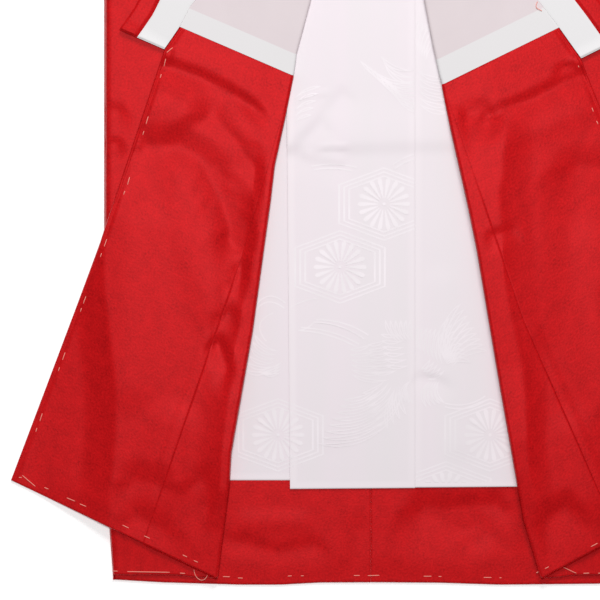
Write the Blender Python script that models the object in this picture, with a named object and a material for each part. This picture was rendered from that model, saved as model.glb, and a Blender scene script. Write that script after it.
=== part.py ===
"""A three-year-old girl's lined ceremonial kimono, laid on its back with both fronts turned open.

Sizes are in millimetres, and each mesh is made in metres. The origin lies on the floor under the middle
of the garment, with X towards the wearer's left, Y towards the neck and Z up. A height is measured up
the garment from the lowest point of its hem, and "out" is the distance from the centre back seam.
Left and right are the wearer's.
"""

from collections import namedtuple
from math import cos, hypot, pi, radians, sin

import bmesh
import bpy

MM = 0.001

# The cut
SHOULDER = 970.0
BACK_HALF = 224.4
COLLAR = 40.0
COLLAR_LINING = 24.0
SLEEVE_REACH = 430.0
SLEEVE_DROP = 450.0
SLEEVE_CORNER = 60.0
CORNER_FACETS = 6
WRIST_OPENING = 135.0
BACK_LINING_TOP = 427.0
COLLAR_TOP = 1010.0

# Cloth walls, and the gap between two layers and at a seam
CLOTH = 1.0
GAP = 0.3
LAYER = CLOTH + GAP

# Levels above the floor
SEAM_LEVEL = 2 * LAYER
INNER_RIGHT_LEVEL = 2 * LAYER
INNER_LEFT_LEVEL = 3 * LAYER
FRONT_LEVEL = 5 * LAYER

# The turned-back fold: its inside gap, the cloth taken up by the bend, and the facets round it
FOLD_GAP = 0.5
BEND = 4.0
BEND_FACETS = 6
OUTER_CLOTH = (FOLD_GAP / 2, FOLD_GAP / 2 + CLOTH)
LINING_CLOTH = (OUTER_CLOTH[1] + GAP, OUTER_CLOTH[1] + GAP + CLOTH)
LINING_RETURN = -12.0

# Across the part of a front that still lies over the back, runs are stretched to this width
LAID = 160.0
SEAM_RAMP = 25.0

# The turned part comes down from the body to the floor between these two distances out
DROP_START = 203.0
DROP_END = 258.0

# The white layer stops at this hem, below which the fronts sink a little
INNER_HEM = 79.0
HEM_SINK = 0.56

# Near the shoulder fold the fronts come down to the back
SHOULDER_RAMP_START = 910.0

# The left front crosses over the right one, so it climbs towards the centre between these heights
LIFT_ROWS = (450.0, 700.0, 830.0, SHOULDER)
LIFT_FULL_OUT = 17.0

SEAM_HALF_GAP = GAP / 2
OKUMI_TIP = 815.0
NECK_HALF = 62.0
NECK_TOP_HALF = 50.0

# The collar's lining ends this far short of its folded edge. The collar leans across the rows, so its
# width is this much more along a row
COLLAR_STEP = 0.6
COLLAR_SKEW = 1.03

# The back's rim, which meets the front, and the step up to it
RIM = 1.0
STEP = 0.05

# The ridges rise from nothing over this much of the run beyond the crease
RIDGE_FADE = 45.0

# How far the cutter that hollows a sleeve reaches past its open edges
OVERCUT = 10.0

# Columns across a panel, as parts of its width
BODY_PARTS = (0, 0.4, 0.7, 0.85, 1)
OKUMI_PARTS = [column / 9 for column in range(10)]

GRID_ROWS = (
    5, 30, 55, 79, 105, 135, 165, 195, 225, 255, 285, 315, 345, 375, 450, 480,
    515, 550, 590, 630, 665, 700, 740, 780, 800, 830, 870, 910, 940, 970, 1008,
)

# Each row: height above the hem, distance out
SIDE_SEAM = ((3.4, 217.0), (47.0, 220.2), (290.0, BACK_HALF), (SHOULDER, BACK_HALF))
# Each row: x, height of the hem there
HEM = ((-217, 3.4), (-177, 0.8), (-114, 0.0), (0, 5.9), (50, 3.4), (134, 0.0), (192, 3.4), (217, 3.4))
# Distances out at which the hem bends, so that the back and its lining follow it
HEM_BENDS = (134, 192)
LINING_HEM_BENDS = (50, *HEM_BENDS)

# A soft ridge of the turned part: its two ends as (out, height), its half width and how high it stands
Ridge = namedtuple("Ridge", "start end half_width height")

# The collar's seam above the tip of the overlap panel: height, distance out
COLLAR_SEAM_TOP = ((820, 40), (970, 65), (1008, 58))

# A front: side is 1 for left. Tables hold a height and a value. crease is the distance out of the edge
# that shows, inner_seam of the body panel's front edge as it would lie with the front closed, and grain is
# the slope of the turned hem in degrees. tsuma is the front edge on the turned part, from the hem corner
# to the collar's end, as (out, height). The collar starts at collar_row, the upper lining at lining_row.
Front = namedtuple(
    "Front", "side crease grain inner_seam tsuma collar_row lining_row lift ridges"
)

RIGHT = Front(
    side=-1,
    crease=(
        (5, 128.6), (85, 118.5), (111, 117.0), (213, 99.2), (323, 84.0), (352, 80.7),
        (392, 72.0), (428, 64.7), (447, 62.2), (491, 50.4), (780, -9.0),
    ),
    grain=((5, 26.9), (428, 23.3), (429, 23.3)),
    inner_seam=((5, 60), (161, 73), (317, 71), (428, 64.7), (600, 62), (820, 40), (970, 65)),
    tsuma=((299.2, 91.6), (173.1, 450.4)),
    collar_row=405.0,
    lining_row=427.7,
    lift=0.0,
    ridges=(
        Ridge((178, 405), (112, 375), 32, 2.5),
        Ridge((150, 345), (128, 235), 36, 2.5),
        Ridge((200, 300), (205, 170), 34, 3.0),
        Ridge((165, 130), (178, 80), 32, 2.5),
    ),
)
LEFT = Front(
    side=1,
    crease=(
        (6, 142.0), (54, 127.7), (82, 122.7), (163, 108.4), (282, 88.2), (323, 79.8),
        (382, 66.5), (420, 59.0), (455, 51.3), (491, 44.5), (800, -14.0),
    ),
    grain=((6, 28.2), (420, 26.1), (421, 26.1)),
    inner_seam=((5, 67), (208, 70.6), (312, 68.5), (420, 60.5), (600, 60), (820, 40), (970, 65)),
    tsuma=((313.0, 97.0), (176.5, 440.3)),
    collar_row=388.0,
    lining_row=420.2,
    lift=5.6,
    ridges=(
        Ridge((170, 405), (110, 380), 32, 2.5),
        Ridge((140, 340), (130, 220), 36, 2.5),
        Ridge((195, 290), (215, 165), 34, 3.0),
        Ridge((175, 125), (185, 75), 32, 2.5),
    ),
)

# The white layer's panels, as outlines of (x, height)
INNER_SIDE = 180.0
INNER_TOP = 900.0
INNER_NECK = 58.0
INNER_SEAM = 37.0
INNER_RIGHT_OUTLINE = (
    (-INNER_SIDE, 87), (70, 87), (70, 470), (-INNER_NECK, INNER_TOP), (-INNER_SIDE, INNER_TOP),
)
INNER_OKUMI_OUTLINE = (
    (-68, INNER_HEM), (INNER_SEAM - SEAM_HALF_GAP, 80), (INNER_SEAM - SEAM_HALF_GAP, 829),
    (-70.6, 470), (-70.6, 392),
)
INNER_LEFT_OUTLINE = (
    (INNER_SEAM + SEAM_HALF_GAP, 80), (122.7, 81.5), (INNER_SIDE, 83), (INNER_SIDE, INNER_TOP),
    (INNER_NECK, INNER_TOP), (INNER_SEAM + SEAM_HALF_GAP, 830),
)

# sRGB colours of the cloths
RED = (0.753, 0.118, 0.133)
RED_LINING = (0.765, 0.125, 0.141)
SHEER = (0.894, 0.847, 0.859)
WHITE = (0.933, 0.902, 0.922)


def along(table, at):
    """The value at a height, on straight lines between a table's rows and beyond its ends."""
    place = 1
    while place < len(table) - 1 and table[place][0] < at:
        place += 1
    (low, first), (high, second) = table[place - 1], table[place]
    return first + (second - first) * (at - low) / (high - low)


def share(value, start, end):
    """How far a value has gone from start to end, from 0 to 1."""
    return min(1.0, max(0.0, (value - start) / (end - start)))


def crease_out(front, row):
    """The middle of the fold, which lies the whole bend's depth inside the crease that shows."""
    return along(front.crease, row) + LINING_CLOTH[1] * cos(radians(along(front.grain, row)) / 2)


def grain_of(front, row):
    return radians(along(front.grain, min(row, front.grain[1][0])))


def run_of(front, row, out):
    """The run along a row of a seam that would lie this far out with the front closed."""
    beyond = crease_out(front, row) - out
    if beyond >= 0:
        return beyond
    return beyond * LAID / (along(SIDE_SEAM, row) - crease_out(front, row))


def tsuma_run(front, row):
    """The run along a row to the front edge of the turned part."""
    (corner_out, corner_up), (top_out, top_up) = front.tsuma
    across, up = cos(grain_of(front, row)), sin(grain_of(front, row))
    edge_out, edge_up = top_out - corner_out, top_up - corner_up
    from_out, from_up = corner_out - crease_out(front, row), corner_up - row
    return BEND + (from_out * edge_up - from_up * edge_out) / (across * edge_up - up * edge_out)


def collar_out(front, row, across=0):
    """Where the collar's seam would lie with the front closed, or a line this far across the collar."""
    start = front.collar_row
    foot = (start, crease_out(front, start) - tsuma_run(front, start))
    return along((foot, *COLLAR_SEAM_TOP), row) - across * COLLAR_SKEW


def fold_level(front, out, height, seam_share):
    """The height of the fold's middle above the floor."""
    hem = 1 - HEM_SINK * share(height, INNER_HEM, 5)
    shoulder = 1 - share(height, SHOULDER_RAMP_START, SHOULDER)
    start, full, end, none = LIFT_ROWS
    crossing = min(share(height, start, full), 1 - share(height, end, none))
    lift = front.lift * crossing * max(0, BACK_HALF - out) / (BACK_HALF - LIFT_FULL_OUT)
    rise = (FRONT_LEVEL - SEAM_LEVEL) * seam_share * hem * shoulder
    return SEAM_LEVEL + rise + CLOTH + FOLD_GAP / 2 + lift


def ridge_height(front, out, height):
    """How far the soft ridges raise the turned part."""
    total = 0.0
    for ridge in front.ridges:
        (x0, y0), (x1, y1) = ridge.start, ridge.end
        length = hypot(x1 - x0, y1 - y0)
        near = share((out - x0) * (x1 - x0) + (height - y0) * (y1 - y0), 0, length * length)
        away = hypot(out - x0 - near * (x1 - x0), height - y0 - near * (y1 - y0))
        total += ridge.height * (1 + cos(pi * share(away, 0, ridge.half_width))) / 2
    return total


def place(front, row, run, depth):
    """A point of a front. row is the height at which its thread meets the crease, run the cloth beyond
    the crease, below 0 where the front still lies over the back, and depth the distance from the
    middle of the fold."""
    crease, grain = crease_out(front, row), grain_of(front, row)
    if run <= 0:
        out = crease - run / LAID * (along(SIDE_SEAM, row) - crease)
        level = fold_level(front, out, row, share(run, -LAID, SEAM_RAMP - LAID))
        return point(front.side * out, row, level - depth)
    if run < BEND:
        turn = pi * run / BEND
        reach = depth * sin(turn)
        level = fold_level(front, crease, row, 1)
        out, height = crease - reach * cos(grain / 2), row - reach * sin(grain / 2)
        return point(front.side * out, height, level - depth * cos(turn))
    turned = run - BEND
    out, height = crease + turned * cos(grain), row + turned * sin(grain)
    underside = fold_level(front, out, height, 1) + FOLD_GAP / 2
    underside *= 1 - share(out, DROP_START, DROP_END)
    underside += ridge_height(front, out, height) * share(turned, 0, RIDGE_FADE)
    return point(front.side * out, height, underside + depth - FOLD_GAP / 2)


def point(x, height, z):
    """A point in metres, from x, height up the garment and z in millimetres."""
    return (x * MM, (height - COLLAR_TOP / 2) * MM, z * MM)


def rows_of(front, low, high):
    """The rows of a front between two heights, both included."""
    inside = set(GRID_ROWS) | {front.collar_row, front.lining_row - SEAM_HALF_GAP}
    return [low] + sorted(row for row in inside if low + 4 < row < high - 4) + [high]


def cells(rows, edges, keep_from=None, marks=None):
    """A flat panel in the plane of rows and runs. edges are its columns, each a function of the row, and
    marks a value for each column, kept as Z. It is cut along the lines of the fold, and with keep_from it
    keeps only the runs beyond that."""
    flat = bmesh.new()
    marks = marks or [0] * len(edges)
    grid = [[flat.verts.new((row, edge(row), mark)) for edge, mark in zip(edges, marks)] for row in rows]
    for lower, upper in zip(grid, grid[1:]):
        for column in range(len(edges) - 1):
            flat.faces.new(
                (lower[column], lower[column + 1], upper[column + 1], upper[column])
            )
    lines = [SEAM_RAMP - LAID] + [BEND * facet / BEND_FACETS for facet in range(BEND_FACETS + 1)]
    for line in lines + ([keep_from] if keep_from else []):
        bmesh.ops.bisect_plane(
            flat,
            geom=flat.verts[:] + flat.edges[:] + flat.faces[:],
            dist=0.001,
            plane_co=(0, line, 0),
            plane_no=(0, 1, 0),
            clear_inner=line == keep_from,
        )
    bmesh.ops.remove_doubles(flat, verts=flat.verts, dist=0.02)
    return flat


def material(name, colour, roughness):
    """A cloth's material, from its sRGB colour."""
    made = bpy.data.materials.new(name)
    made.use_nodes = True
    shader = made.node_tree.nodes["Principled BSDF"]
    linear = [((value + 0.055) / 1.055) ** 2.4 for value in colour]
    shader.inputs["Base Color"].default_value = (*linear, 1)
    shader.inputs["Roughness"].default_value = roughness
    shader.inputs["Sheen Weight"].default_value = 0.3
    made.diffuse_color = (*linear, 1)
    return made


def finish(name, mesh_data, colour, roughness=0.55):
    """An object with its own material, from a mesh whose faces are turned outwards."""
    bmesh.ops.recalc_face_normals(mesh_data, faces=mesh_data.faces)
    mesh = bpy.data.meshes.new(name)
    mesh_data.to_mesh(mesh)
    mesh_data.free()
    mesh.materials.append(material(name + "_cloth", colour, roughness))
    made = bpy.data.objects.new(name, mesh)
    bpy.context.scene.collection.objects.link(made)
    return made


def wall(name, flat, near, far, colour):
    """A closed cloth wall from flat cells. near and far give the points of its two faces, each a function
    of a cell corner's row, run and mark."""
    solid = bmesh.new()
    flat.verts.index_update()
    first, second = (
        [solid.verts.new(face_point(*v.co)) for v in flat.verts] for face_point in (near, far)
    )
    for face in flat.faces:
        ring = [v.index for v in face.verts]
        lowest = min(range(len(ring)), key=lambda i: face.verts[i].co.x + face.verts[i].co.y)
        ring = ring[lowest:] + ring[:lowest]
        for b, c in zip(ring[1:], ring[2:]):
            solid.faces.new((first[ring[0]], first[b], first[c]))
            solid.faces.new((second[c], second[b], second[ring[0]]))
    for edge in flat.edges:
        if len(edge.link_faces) == 1:
            a, b = (v.index for v in edge.verts)
            solid.faces.new((first[a], first[b], second[b]))
            solid.faces.new((first[a], second[b], second[a]))
    flat.free()
    return finish(name, solid, colour)


def front_wall(name, front, flat, near, far, colour):
    """A wall of a front. near and far are depths in the fold, each a function of a corner's mark."""
    wall(
        name,
        flat,
        lambda row, run, mark: place(front, row, run, near(mark)),
        lambda row, run, mark: place(front, row, run, far(mark)),
        colour,
    )


def plate(name, outline, low, high, colour, roughness=0.55):
    """A flat piece of cloth from its outline, with its underside and top at these levels."""
    solid = bmesh.new()
    face = solid.faces.new([solid.verts.new(point(x, height, low)) for x, height in outline])
    raised = bmesh.ops.extrude_face_region(solid, geom=[face])["geom"]
    tops = [v for v in raised if isinstance(v, bmesh.types.BMVert)]
    bmesh.ops.translate(solid, verts=tops, vec=(0, 0, (high - low) * MM))
    return finish(name, solid, colour, roughness)


def spread(low, high, parts):
    """Columns between two edges, each edge a function of the row, at these parts of the way across."""
    return [lambda row, part=part: low(row) + (high(row) - low(row)) * part for part in parts]


def fixed(value):
    return lambda row: value


def make_back(side, name):
    """A back panel, with a narrow rim along the side seam and the shoulder fold, where it turns up
    towards the front. Its cells are drawn for a straight side seam and an even hem, then fitted."""
    turn_in = BACK_HALF - RIM
    turn_down = SHOULDER - RIM
    outs = (
        SEAM_HALF_GAP, NECK_HALF, NECK_HALF + STEP, *HEM_BENDS, turn_in - STEP, turn_in, BACK_HALF,
    )
    heights = (0, SIDE_SEAM[1][0], SIDE_SEAM[2][0], turn_down - STEP, turn_down, SHOULDER)
    flat = bmesh.new()
    grid = [[flat.verts.new((out, height, 0)) for out in outs] for height in heights]
    for lower, upper in zip(grid, grid[1:]):
        for a, b, c, d in zip(lower, lower[1:], upper[1:], upper):
            flat.faces.new((a, b, c, d))

    def fitted(out, height, level):
        x = side * out * along(SIDE_SEAM, height) / BACK_HALF
        return point(x, height or along(HEM, x), level)

    def top(out, height, mark):
        at_rim = out >= turn_in or (height >= turn_down and out > NECK_HALF)
        return fitted(out, height, SEAM_LEVEL - GAP if at_rim else CLOTH)

    wall(name, flat, lambda out, height, mark: fitted(out, height, 0), top, RED)


def make_back_lining(side, name):
    """The lower lining of the back, a little inside the seams."""
    inset = RIM + 2 * GAP
    outline = [(side * SEAM_HALF_GAP, along(HEM, 0) + inset)]
    outline += [(side * out, along(HEM, side * out) + inset) for out in LINING_HEM_BENDS]
    outline += [(side * (out - inset), max(height, along(HEM, side * out) + inset))
                for height, out in SIDE_SEAM[:3]]
    outline += [(side * (BACK_HALF - inset), BACK_LINING_TOP), (side * SEAM_HALF_GAP, BACK_LINING_TOP)]
    plate(name, outline, LAYER, LAYER + CLOTH, RED_LINING)


def make_front(front, name):
    """Everything that is cut for one front: body panel, overlap panel, their linings and the collar."""

    def seam(row, gap):
        return run_of(front, row, along(front.inner_seam, row)) + gap

    def front_edge(row):
        if row <= front.collar_row:
            return tsuma_run(front, row)
        return run_of(front, row, collar_out(front, row)) - SEAM_HALF_GAP

    body = spread(fixed(-LAID), lambda row: seam(row, -SEAM_HALF_GAP), BODY_PARTS)
    okumi = spread(lambda row: seam(row, SEAM_HALF_GAP), front_edge, OKUMI_PARTS)
    low, middle = GRID_ROWS[0], front.lining_row
    lower = rows_of(front, low, middle - SEAM_HALF_GAP)
    upper = rows_of(front, middle + SEAM_HALF_GAP, OKUMI_TIP)
    outer = [fixed(depth) for depth in OUTER_CLOTH]
    lining = [fixed(depth) for depth in LINING_CLOTH]
    front_wall("front_" + name, front, cells(rows_of(front, low, SHOULDER), body), *outer, RED)
    front_wall("okumi_" + name, front, cells(rows_of(front, low, OKUMI_TIP), okumi), *outer, RED)
    front_wall(
        "hakkake_front_" + name, front, cells(lower, body, LINING_RETURN), *lining, RED_LINING
    )
    front_wall("hakkake_okumi_" + name, front, cells(lower, okumi), *lining, RED_LINING)
    front_wall("doura_okumi_" + name, front, cells(upper, okumi, LINING_RETURN), *lining, SHEER)
    make_collar(front, name)


def make_collar(front, name):
    """The collar strip, whose free edge is folded in over part of its lining, and the lining."""

    def strip(acrosses):
        return [
            lambda row, across=across: run_of(front, row, collar_out(front, row, across))
            for across in acrosses
        ]

    folded = COLLAR_LINING + COLLAR_STEP
    acrosses = (SEAM_HALF_GAP, COLLAR_LINING / 2, COLLAR_LINING, folded, (folded + COLLAR) / 2, COLLAR)
    marks = [1 if across >= folded else 0 for across in acrosses]
    rows = rows_of(front, front.collar_row, GRID_ROWS[-1])
    front_wall(
        "collar_" + name, front, cells(rows, strip(acrosses), marks=marks),
        fixed(OUTER_CLOTH[0]), lambda mark: OUTER_CLOTH[1] + LAYER * mark, RED,
    )
    acrosses = (SEAM_HALF_GAP, COLLAR_LINING / 2, COLLAR_LINING - GAP)
    front_wall(
        "collar_lining_" + name, front, cells(rows, strip(acrosses), LINING_RETURN),
        *[fixed(depth) for depth in LINING_CLOTH], WHITE,
    )


def sleeve_outline(side, inner, inset, wrist):
    """A sleeve with its rounded lower corner, drawn in by inset from its sewn edges. inner is its armhole
    edge, and wrist the points of its wrist edge, from the top of the sewn part to the shoulder."""
    bottom = SHOULDER - SLEEVE_DROP + inset
    edge = SLEEVE_REACH - inset
    radius = SLEEVE_CORNER - inset
    turns = [radians(90 * step / CORNER_FACETS) for step in range(CORNER_FACETS + 1)]
    outline = [(inner, bottom)]
    outline += [(edge - radius + radius * sin(t), bottom + radius - radius * cos(t)) for t in turns]
    outline += wrist + [(inner, SHOULDER - inset)]
    return [(side * out, height) for out, height in outline]


def make_sleeve(side, name):
    """A sleeve folded at the shoulder. It is open along the armhole side and at the wrist."""
    inner = BACK_HALF + GAP
    top = SEAM_LEVEL + CLOTH
    outside = sleeve_outline(side, inner, 0, [(SLEEVE_REACH, SHOULDER)])
    sleeve = plate(name, outside, 0, top, RED)
    opening_low, opening_high = SHOULDER - WRIST_OPENING, SHOULDER - CLOTH
    wrist = [
        (SLEEVE_REACH - CLOTH, opening_low), (SLEEVE_REACH + OVERCUT, opening_low),
        (SLEEVE_REACH + OVERCUT, opening_high),
    ]
    hollow = sleeve_outline(side, inner - OVERCUT, CLOTH, wrist)
    cutter = plate(name + "_hollow", hollow, CLOTH, top - CLOTH, RED)
    cutter.hide_render = True
    cutter.display_type = "WIRE"
    cut = sleeve.modifiers.new("hollow", "BOOLEAN")
    cut.object = cutter


for old in list(bpy.data.objects):
    bpy.data.objects.remove(old)

for side, name in ((-1, "right"), (1, "left")):
    make_back(side, "back_" + name)
    make_back_lining(side, "hakkake_back_" + name)
    make_sleeve(side, "sleeve_" + name)

for front, name in ((RIGHT, "right"), (LEFT, "left")):
    make_front(front, name)

plate(
    "collar_neck",
    (
        (-NECK_HALF, SHOULDER + GAP), (NECK_HALF, SHOULDER + GAP),
        (NECK_TOP_HALF, COLLAR_TOP), (-NECK_TOP_HALF, COLLAR_TOP),
    ),
    0, CLOTH, RED,
)
plate("inner_front_right", INNER_RIGHT_OUTLINE, INNER_RIGHT_LEVEL, INNER_RIGHT_LEVEL + CLOTH, WHITE)
plate("inner_okumi_left", INNER_OKUMI_OUTLINE, INNER_LEFT_LEVEL, INNER_LEFT_LEVEL + CLOTH, WHITE)
plate("inner_front_left", INNER_LEFT_OUTLINE, INNER_LEFT_LEVEL, INNER_LEFT_LEVEL + CLOTH, WHITE)
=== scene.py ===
from collections import namedtuple
from math import atan2, cos, pi, radians, sin

import bmesh
import bpy
import numpy as np
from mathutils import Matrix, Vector


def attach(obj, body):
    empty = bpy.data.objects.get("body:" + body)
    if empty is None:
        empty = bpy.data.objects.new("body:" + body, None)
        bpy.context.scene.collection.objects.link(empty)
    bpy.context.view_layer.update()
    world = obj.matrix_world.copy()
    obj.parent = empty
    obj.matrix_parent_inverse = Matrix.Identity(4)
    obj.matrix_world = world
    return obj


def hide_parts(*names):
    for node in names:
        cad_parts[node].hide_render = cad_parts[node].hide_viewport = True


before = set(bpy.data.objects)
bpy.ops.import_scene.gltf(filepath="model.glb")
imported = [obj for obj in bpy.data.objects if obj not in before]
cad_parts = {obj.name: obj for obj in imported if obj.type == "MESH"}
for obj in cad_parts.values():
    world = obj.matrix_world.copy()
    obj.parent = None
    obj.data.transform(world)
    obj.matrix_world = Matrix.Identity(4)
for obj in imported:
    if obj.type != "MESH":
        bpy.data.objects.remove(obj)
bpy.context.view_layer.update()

# The view
# A matt white floor, a soft light overhead, a weaker one low on the neck's side, and a camera straight
# above the lower half of the garment.
MM = 0.001
MIDDLE = 505.0
VIEW_X, VIEW_HEIGHT, VIEW_WIDTH = -59.7, 238.7, 504.0
CAMERA_UP, CLOTH_LEVEL = 3000.0, 7.0
SENSOR = 36.0
AMBIENT = 0.25
FLOOR_HALF, FLOOR_LEVEL = 6000.0, -0.2
# Each row: name, place and size in metres, power in watts
LIGHTS = (
    ("overhead_softbox", (-0.12, 0.15, 3.3), 0.5, 41.5),
    ("neck_softbox", (0.2, 1.4, 1.5), 0.7, 26.0),
)


def in_metres(x, height, z):
    """Points of the frame, in metres, from arrays or numbers in millimetres."""
    return np.stack(np.broadcast_arrays(x, np.subtract(height, MIDDLE), z), axis=-1) * MM


def linear(colour):
    """A linear colour from an sRGB hex one."""
    parts = [int(colour[place:place + 2], 16) / 255 for place in (1, 3, 5)]
    return (*[((part + 0.055) / 1.055) ** 2.4 for part in parts], 1.0)


def placed(name, data):
    """A new object of the scene, at its origin."""
    thing = bpy.data.objects.new(name, data)
    bpy.context.scene.collection.objects.link(thing)
    return thing


def finished(name, values):
    """A new material with its shader's uniform values, its node tree and its shader."""
    material = bpy.data.materials.new(name)
    material.use_nodes = True
    shader = material.node_tree.nodes["Principled BSDF"]
    for socket, value in values.items():
        shader.inputs[socket].default_value = value
    return material, material.node_tree, shader


scene = bpy.context.scene
scene.view_settings.view_transform = "Standard"
scene.camera = placed("camera", bpy.data.cameras.new("camera"))
scene.camera.data.sensor_width = SENSOR
scene.camera.data.lens = SENSOR * (CAMERA_UP - CLOTH_LEVEL) / VIEW_WIDTH
scene.camera.location = in_metres(VIEW_X, VIEW_HEIGHT, CAMERA_UP)
for name, where, size, power in LIGHTS:
    light = placed(name, bpy.data.lights.new(name, "AREA"))
    light.data.size = size
    light.data.energy = power
    light.location = where
    aim = Vector(where) - Vector(in_metres(VIEW_X, VIEW_HEIGHT, 0))
    light.rotation_euler = aim.to_track_quat("Z", "Y").to_euler()
    light.visible_camera = False
scene.world = bpy.data.worlds.new("studio")
scene.world.use_nodes = True
sky = scene.world.node_tree.nodes["Background"].inputs
sky["Color"].default_value = linear("#FFFFFF")
sky["Strength"].default_value = AMBIENT

# Matt white paint, rolled on: no shine, and lit a little from itself so that it stays white all over.
floor_mesh = bpy.data.meshes.new("floor")
sides = np.array((-1, 1, 1, -1)) * FLOOR_HALF
floor_mesh.from_pydata(in_metres(sides, MIDDLE + sides[[0, 0, 1, 1]], FLOOR_LEVEL).tolist(), [], [range(4)])
floor_mesh.materials.append(finished("matt_white_paint", {
    "Base Color": linear("#FFFFFF"), "Roughness": 0.9, "Specular IOR Level": 0.0,
    "Emission Color": linear("#FFFFFF"), "Emission Strength": AMBIENT,
})[0])
placed("floor", floor_mesh)

# The back
# Two red figured silk panels sewn down the centre, and the red lower lining that shows between the
# opened fronts. The hem's edges are rolled, and the panels turn up to the fronts at the side seams.
BACK_HALF, SHOULDER, BACK_LINING_TOP = 224.4, 970.0, 427.0
SEAM_GAP = 0.04
BACK_LEVEL, SIDE_RIM, RIM_RISE, RIM_WALL = 0.45, 2.2, 1.6, 0.3
LINING_LEVEL, LINING_UNDER, LINING_START, LINING_INSET = 2.3, 1.9, 0.2, 2.0
# A dip is how deep cloth rolls down at an edge, and where it isn't the usual one, over what width
CENTRE_DIP, LINING_CENTRE_DIP, LINING_HEM_ROUND = 0.25, (0.35, 1.0), 1.3
SPACING, ROW_SPACING, OUT_SPACING, LINING_SPACING = 3.0, 9.0, 8.0, 3.2
FINE_OFFSETS = (0.0, 0.3, 0.75, 1.3, 1.9, 2.5, 3.2, 4.2)
SHARP_ANGLE = radians(55)
# How a trough of the cloth lies: its shift down by a share of its half width, how much slower it rises
# below than above, how round its bottom is, and how hollow its sides are
TROUGH_SHIFT, TROUGH_LEAN, TROUGH_ROUND, TROUGH_HOLLOW = 0.3, 2.2, 0.14, 1.5
# Each row: height, distance out
SIDE_SEAM = ((3.4, 217.0), (47.0, 220.2), (290.0, BACK_HALF), (SHOULDER, BACK_HALF))
# Each row: x, height of the hem there
HEM = (
    (-217, 3.4), (-177, 1.0), (-110, -1.0), (-76, -1.0), (-43, 0.8),
    (8, 1.0), (58, 0.6), (108, -1.0), (192, -0.2), (217, 1.8),
)
# Where the lining shows it lies in shallow folds. Each row: points as (x, height), half width, rise
STRIP_FOLDS = (
    (((46, 69), (62, 66), (72, 68)), 16, -2.3),
    (((86, 70), (104, 71)), 12, -1.8),
    (((-123, 40), (-104, 37), (-88, 32), (-78, 30), (-62, 33), (-48, 36)), 9, -0.9),
    (((98, 46), (112, 36)), 16, -0.8),
    (((-10, 50), (-14, 12)), 16, -0.5),
    (((-104, 52), (-60, 52)), 14, 0.5),
)
STRIP_PUFF, STRIP_DEEPEST = 0.7, -2.1
# It swells from nothing to its full height between these heights and distances out
STRIP_TOP, STRIP_HEM, STRIP_SIDE = (125, 84), (0, 26), (132, 112)
HEM_FADE = 80.0


def columns_at(table, at):
    """The further columns of a table where its first one is at, on straight lines between its rows."""
    first, *others = np.array(table, float).T
    return [np.interp(at, first, column) for column in others]


def along(table, at):
    """Values of a two-column table where its first column is at."""
    return columns_at(table, at)[0]


def eased(value, start, end):
    """How far values have gone from start to end, from 0 to 1, leaving and arriving gently."""
    part = np.clip((value - start) / (end - start), 0, 1)
    return part * part * (3 - 2 * part)


def relief(folds, out, height):
    """How far soft folds raise the cloth. A fold below 0 is a trough whose points follow its steep upper
    side; it rises slowly again towards the hem."""
    total = np.zeros(np.shape(out))
    for points, half_width, rise in folds:
        trough = rise < 0
        points = np.array(points, float) - (0, TROUGH_SHIFT * half_width * trough)
        if len(points) == 1:
            points = np.vstack([points, points + (0.01, 0)])
        nearest = np.full(np.shape(out), np.inf)
        for (x0, y0), (x1, y1) in zip(points, points[1:]):
            length = (x1 - x0) ** 2 + (y1 - y0) ** 2
            near = np.clip(((out - x0) * (x1 - x0) + (height - y0) * (y1 - y0)) / length, 0, 1)
            below = y0 + near * (y1 - y0) - height
            away = np.hypot(out - x0 - near * (x1 - x0), below) + 1e-6
            nearest = np.minimum(nearest, away / (1 + TROUGH_LEAN * np.clip(below / away, 0, 1) * trough))
        bottom = TROUGH_ROUND * half_width * trough
        part = np.clip((np.hypot(nearest, bottom) - bottom) / half_width, 0, 1)
        total += rise * ((1 - part) ** TROUGH_HOLLOW if trough else (1 + np.cos(pi * part)) / 2)
    return total


def spaced(low, high, spacing=SPACING, fine_low=True, fine_high=True):
    """Places from low to high, closer together near the edges that are asked for."""
    offsets = np.array(FINE_OFFSETS)
    first = low + (offsets if fine_low else offsets[:1])
    last = high - (offsets[::-1] if fine_high else offsets[:1])
    count = max(2, int(round((last[0] - first[-1]) / spacing)))
    return np.concatenate([first, np.linspace(first[-1], last[0], count + 1)[1:-1], last])


def sunk(distance, depth, width=1.6):
    """How far cloth dips at this distance from an edge, as it rolls down into a seam."""
    return depth * (1 - eased(distance, 0, width))


def rounded(distance, drop, width=1.4):
    """How far cloth dips at this distance from an edge where it is turned under, as a quarter circle."""
    return drop * (1 - np.sqrt(1 - np.clip(1 - distance / width, 0, 1) ** 2))


def cut(flat, point, normal, keep_beyond):
    """Cut a flat bmesh along a straight line, and keep all of it or only what lies beyond the line."""
    bmesh.ops.bisect_plane(
        flat, geom=flat.verts[:] + flat.edges[:] + flat.faces[:], dist=0.001,
        plane_co=point, plane_no=normal, clear_inner=keep_beyond,
    )


def flat_cloth(rows, runs, dips, cuts=(), keep_from=None):
    """A flat panel in the plane of rows and runs, as a bmesh. Its Z keeps how far each point dips at the
    panel's edges. It is cut along some runs, and can keep only the runs beyond one."""
    runs, dips, _ = np.broadcast_arrays(runs, dips, rows[:, None])
    flat = bmesh.new()
    grid = [
        [flat.verts.new((row, run, dip)) for run, dip in zip(*line)]
        for row, line in zip(rows, zip(runs, dips))
    ]
    for lower, upper in zip(grid, grid[1:]):
        for a, b, c, d in zip(lower, lower[1:], upper[1:], upper):
            flat.faces.new((a, b, c, d))
    for run in [*cuts] + ([] if keep_from is None else [keep_from]):
        cut(flat, (0, run, 0), (0, 1, 0), run == keep_from)
    bmesh.ops.remove_doubles(flat, verts=flat.verts, dist=0.02)
    return flat


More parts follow.
